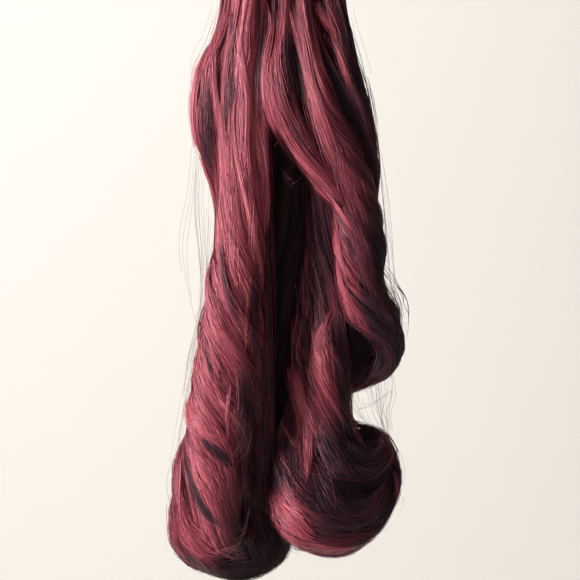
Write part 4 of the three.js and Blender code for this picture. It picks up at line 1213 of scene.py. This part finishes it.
BAND_FACE = 0.45  # and inside its faces
END_TALL, END_THICK = 0.35, 0.3  # the shares of its height and thickness that a closed end keeps
PINCH = 0.5
PINCH_WIDE = 0.8
PUCKER = 0.25


def band_point(x, angle, grow=0.0):
    """A point of the band's outside, drawn in at its ends, its stitch rows and each stitch."""
    end = np.clip((np.abs(x) - (WEFT_WIDTH / 2 - BAND_END)) / BAND_END, 0, 1)
    close = np.sqrt(1 - end**2 * BAND_CLOSE)
    ahead = np.sign(np.cos(angle)) * np.abs(np.cos(angle)) ** BAND_POWER
    rise = np.sign(np.sin(angle)) * np.abs(np.sin(angle)) ** BAND_POWER
    z = -WEFT_HEIGHT / 2 + rise * (WEFT_HEIGHT / 2 - BAND_EDGE) * (END_TALL + (1 - END_TALL) * close)
    pinch = PINCH * sum(np.exp(-(((z - row) / PINCH_WIDE) ** 2)) for row in STITCH_ROWS)
    pucker = 1 - PUCKER + PUCKER * np.cos(2 * np.pi * x / STITCH_PITCH)
    thick = (WEFT_THICK / 2 - BAND_FACE - pinch * pucker) * (END_THICK + (1 - END_THICK) * close) + grow
    return np.stack((x, -ahead * thick, z + grow * rise), axis=-1)


def add_cloth(shape, points, slot):
    """A tube of cloth or thread, with an even map."""
    rows, count = points.shape[:2]
    maps = np.stack(np.meshgrid(np.linspace(0, 1, count), np.linspace(0, 1, rows)), axis=-1)
    add_tube(shape, points, BAND_TONE, slot, maps)


def add_thread(shape, path, radius, corners=THREAD_CORNERS):
    """A round thread with tapered ends along a path."""
    along = unit(np.gradient(path, axis=0))
    first = unit(np.cross(along, THREAD_SIDE))
    second = np.cross(along, first)
    angle = np.linspace(0, 2 * np.pi, corners, endpoint=False)[None, :, None]
    slim = np.full(len(path), float(radius))
    slim[0] = slim[-1] = THREAD_END * radius
    ring = first[:, None] * np.cos(angle) + second[:, None] * np.sin(angle)
    add_cloth(shape, path[:, None] + ring * slim[:, None, None], 1)


def cloth_material():
    values = {"Roughness": 0.9, "Sheen Weight": 0.1, "Specular IOR Level": 0.2}
    made, nodes, links, shader = material("band_cloth", values)
    place = nodes.new("ShaderNodeTexCoord").outputs["Object"]
    weave = nodes.new("ShaderNodeMath")
    weave.operation = "MULTIPLY"
    for k, direction in enumerate(("X", "Z")):
        wave = nodes.new("ShaderNodeTexWave")
        wave.bands_direction = direction
        set_inputs(wave, {"Scale": 420, "Distortion": 0.6})
        links.new(place, wave.inputs["Vector"])
        links.new(wave.outputs["Fac"], weave.inputs[k])
    bump = nodes.new("ShaderNodeBump")
    set_inputs(bump, {"Strength": 0.5, "Distance": 0.0003})
    links.new(weave.outputs["Value"], bump.inputs["Height"])
    links.new(bump.outputs["Normal"], shader.inputs["Normal"])
    worn = noise_value(nodes, links, place, 60)
    coloured(nodes, links, shader, worn, [(0.3, (26, 17, 21)), (0.6, (44, 28, 34)), (0.8, (60, 38, 45))])
    return made


def thread_material():
    made, nodes, links, shader = material("sewing_thread", {"Roughness": 0.6})
    place = nodes.new("ShaderNodeTexCoord").outputs["Object"]
    twist = noise_value(nodes, links, place, 900)
    coloured(nodes, links, shader, twist, [(0.35, (58, 22, 30)), (0.65, (104, 44, 55))])
    return made


def clip_material():
    made, nodes, links, shader = material("clip_metal", {"Metallic": 0.75})
    place = nodes.new("ShaderNodeTexCoord").outputs["Object"]
    worn = noise_value(nodes, links, place, 340, 4)
    coloured(nodes, links, shader, worn, [(0.35, (16, 15, 17)), (0.62, (30, 28, 31)), (0.8, (70, 66, 68))])
    ranged(nodes, links, worn, shader.inputs["Roughness"], 0.22, 0.5)
    return made


def add_weft():
    shape = Shape()
    half = WEFT_WIDTH / 2
    share, angle = ring_places(BAND_ALONG, BAND_ROUND)
    skin = band_point(half * (2 * share - 1), angle)
    first, last = (np.repeat(skin[end].mean(0)[None], BAND_ROUND, axis=0)[None] for end in (0, -1))
    add_cloth(shape, np.concatenate((first, skin, last)), 0)
    # One stitch after another along each row, on both faces
    reach = np.linspace(STITCH_GAP, STITCH_PITCH - STITCH_GAP, STITCH_POINTS)
    arch = STITCH_ARCH * np.sin(np.pi * np.linspace(0, 1, STITCH_POINTS))
    starts = np.arange(STITCH_ENDS - half, half - STITCH_ENDS, STITCH_PITCH)
    for face in (-1, 1):
        y = face * (WEFT_THICK / 2 - STITCH_SINK + arch)
        for row in STITCH_ROWS:
            for start in starts:
                stitch = np.stack((start + reach, y, np.full(STITCH_POINTS, row)), axis=-1)
                add_thread(shape, stitch, STITCH_RADIUS)
    # Overcast threads that go slanting over the top edge
    over = np.linspace(*OVER_REACH, OVER_POINTS) * np.pi
    for start in np.arange(STITCH_ENDS - half, half - STITCH_ENDS, OVER_PITCH):
        path = band_point(start + (over - np.pi / 2) * OVER_SLANT, over, OVER_GROW)
        add_thread(shape, path[path[:, 2] > OVER_LOWEST], OVER_RADIUS, OVER_CORNERS)
    piece = shape.build("sewn_band", (cloth_material(), thread_material()))
    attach(piece, "root")
    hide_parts("weft_band")


add_weft()
metal = clip_material()
for name in ("clip_left", "clip_right"):
    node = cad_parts[name]
    node.data.materials.clear()
    node.data.materials.append(metal)

# The room, in metres: a plain pale floor and wall, well clear of the object
ROOM_HALF = 9
FLOOR_HEIGHT = -1.5
WALL_AWAY = 4.2
WALL_TOP = 6
FLOOR_COLOUR = (236, 232, 226)
WALL_COLOUR = (238, 234, 229)
MOTTLE = 4  # how much darker the mottles are


def plain_sheet(name, near, far, colour):
    """A sheet across the room from one edge to another, each a place in depth and a height."""
    ends = [(-ROOM_HALF, *near), (ROOM_HALF, *near), (ROOM_HALF, *far), (-ROOM_HALF, *far)]
    mesh = bpy.data.meshes.new(name)
    mesh.from_pydata(ends, [], [(0, 1, 2, 3)])
    sheet = bpy.data.objects.new(name, mesh)
    bpy.context.scene.collection.objects.link(sheet)
    made, nodes, links, shader = material(name, {"Roughness": 0.9})
    mottle = noise_value(nodes, links, nodes.new("ShaderNodeTexCoord").outputs["Generated"], 2.0)
    coloured(nodes, links, shader, mottle, [(0.35, colour), (0.65, tuple(c - MOTTLE for c in colour))])
    mesh.materials.append(made)


plain_sheet("floor", (-ROOM_HALF, FLOOR_HEIGHT), (WALL_AWAY, FLOOR_HEIGHT), FLOOR_COLOUR)
plain_sheet("wall", (WALL_AWAY, FLOOR_HEIGHT), (WALL_AWAY, WALL_TOP), WALL_COLOUR)

# Each light: its place, what it is aimed at, its size in metres and its power
LIGHTS = dict(
    window_light=((-2.5, -1.15, 0.45), (0, 0, -0.3), (0.9, 1.6), 170),
    wall_light=((-2.0, 1.6, 2.6), (-0.6, 4.2, -0.2), (2.2, 1.4), 90),
)
LIGHT_COLOUR = (1.0, 0.99, 0.98)

for name, (place, aim, size, power) in LIGHTS.items():
    data = bpy.data.lights.new(name, "AREA")
    data.shape = "RECTANGLE"
    data.size, data.size_y = size
    data.energy = power
    data.color = LIGHT_COLOUR
    lamp = bpy.data.objects.new(name, data)
    bpy.context.scene.collection.objects.link(lamp)
    lamp.location = place
    lamp.rotation_euler = (Vector(aim) - Vector(place)).to_track_quat("-Z", "Y").to_euler()

# The light all round, which is brightest from the left
WORLD_STOPS = [(0.0, (244, 243, 240)), (0.5, (168, 166, 163)), (1.0, (122, 118, 114))]
WORLD_STRENGTH = 0.75

world = bpy.data.worlds.new("pale_room")
bpy.context.scene.world = world
world.use_nodes = True
sky = world.node_tree.nodes
join = world.node_tree.links
direction = sky.new("ShaderNodeTexCoord")
parts = sky.new("ShaderNodeSeparateXYZ")
side = sky.new("ShaderNodeMapRange")
set_inputs(side, {"From Min": -1, "From Max": 1})
glow = ramp_node(sky, WORLD_STOPS)
join.new(direction.outputs["Generated"], parts.inputs["Vector"])
join.new(parts.outputs["X"], side.inputs["Value"])
join.new(side.outputs["Result"], glow.inputs["Fac"])
join.new(glow.outputs["Color"], sky["Background"].inputs["Color"])
sky["Background"].inputs["Strength"].default_value = WORLD_STRENGTH
bpy.context.scene.view_settings.view_transform = "Standard"

# The camera, level with the middle of the view and straight in front of it
CAMERA_LENS = 150
CAMERA_SENSOR = 36
CAMERA_END = 40

camera_data = bpy.data.cameras.new("camera")
camera = bpy.data.objects.new("camera", camera_data)
bpy.context.scene.collection.objects.link(camera)
camera_data.lens = CAMERA_LENS
camera_data.sensor_width = CAMERA_SENSOR
camera_data.clip_end = CAMERA_END
camera.location = (VIEW_ACROSS * MM, -VIEW_AWAY * MM, VIEW_HEIGHT * MM)
camera.rotation_euler = (math.radians(90), 0, 0)
bpy.context.scene.camera = camera
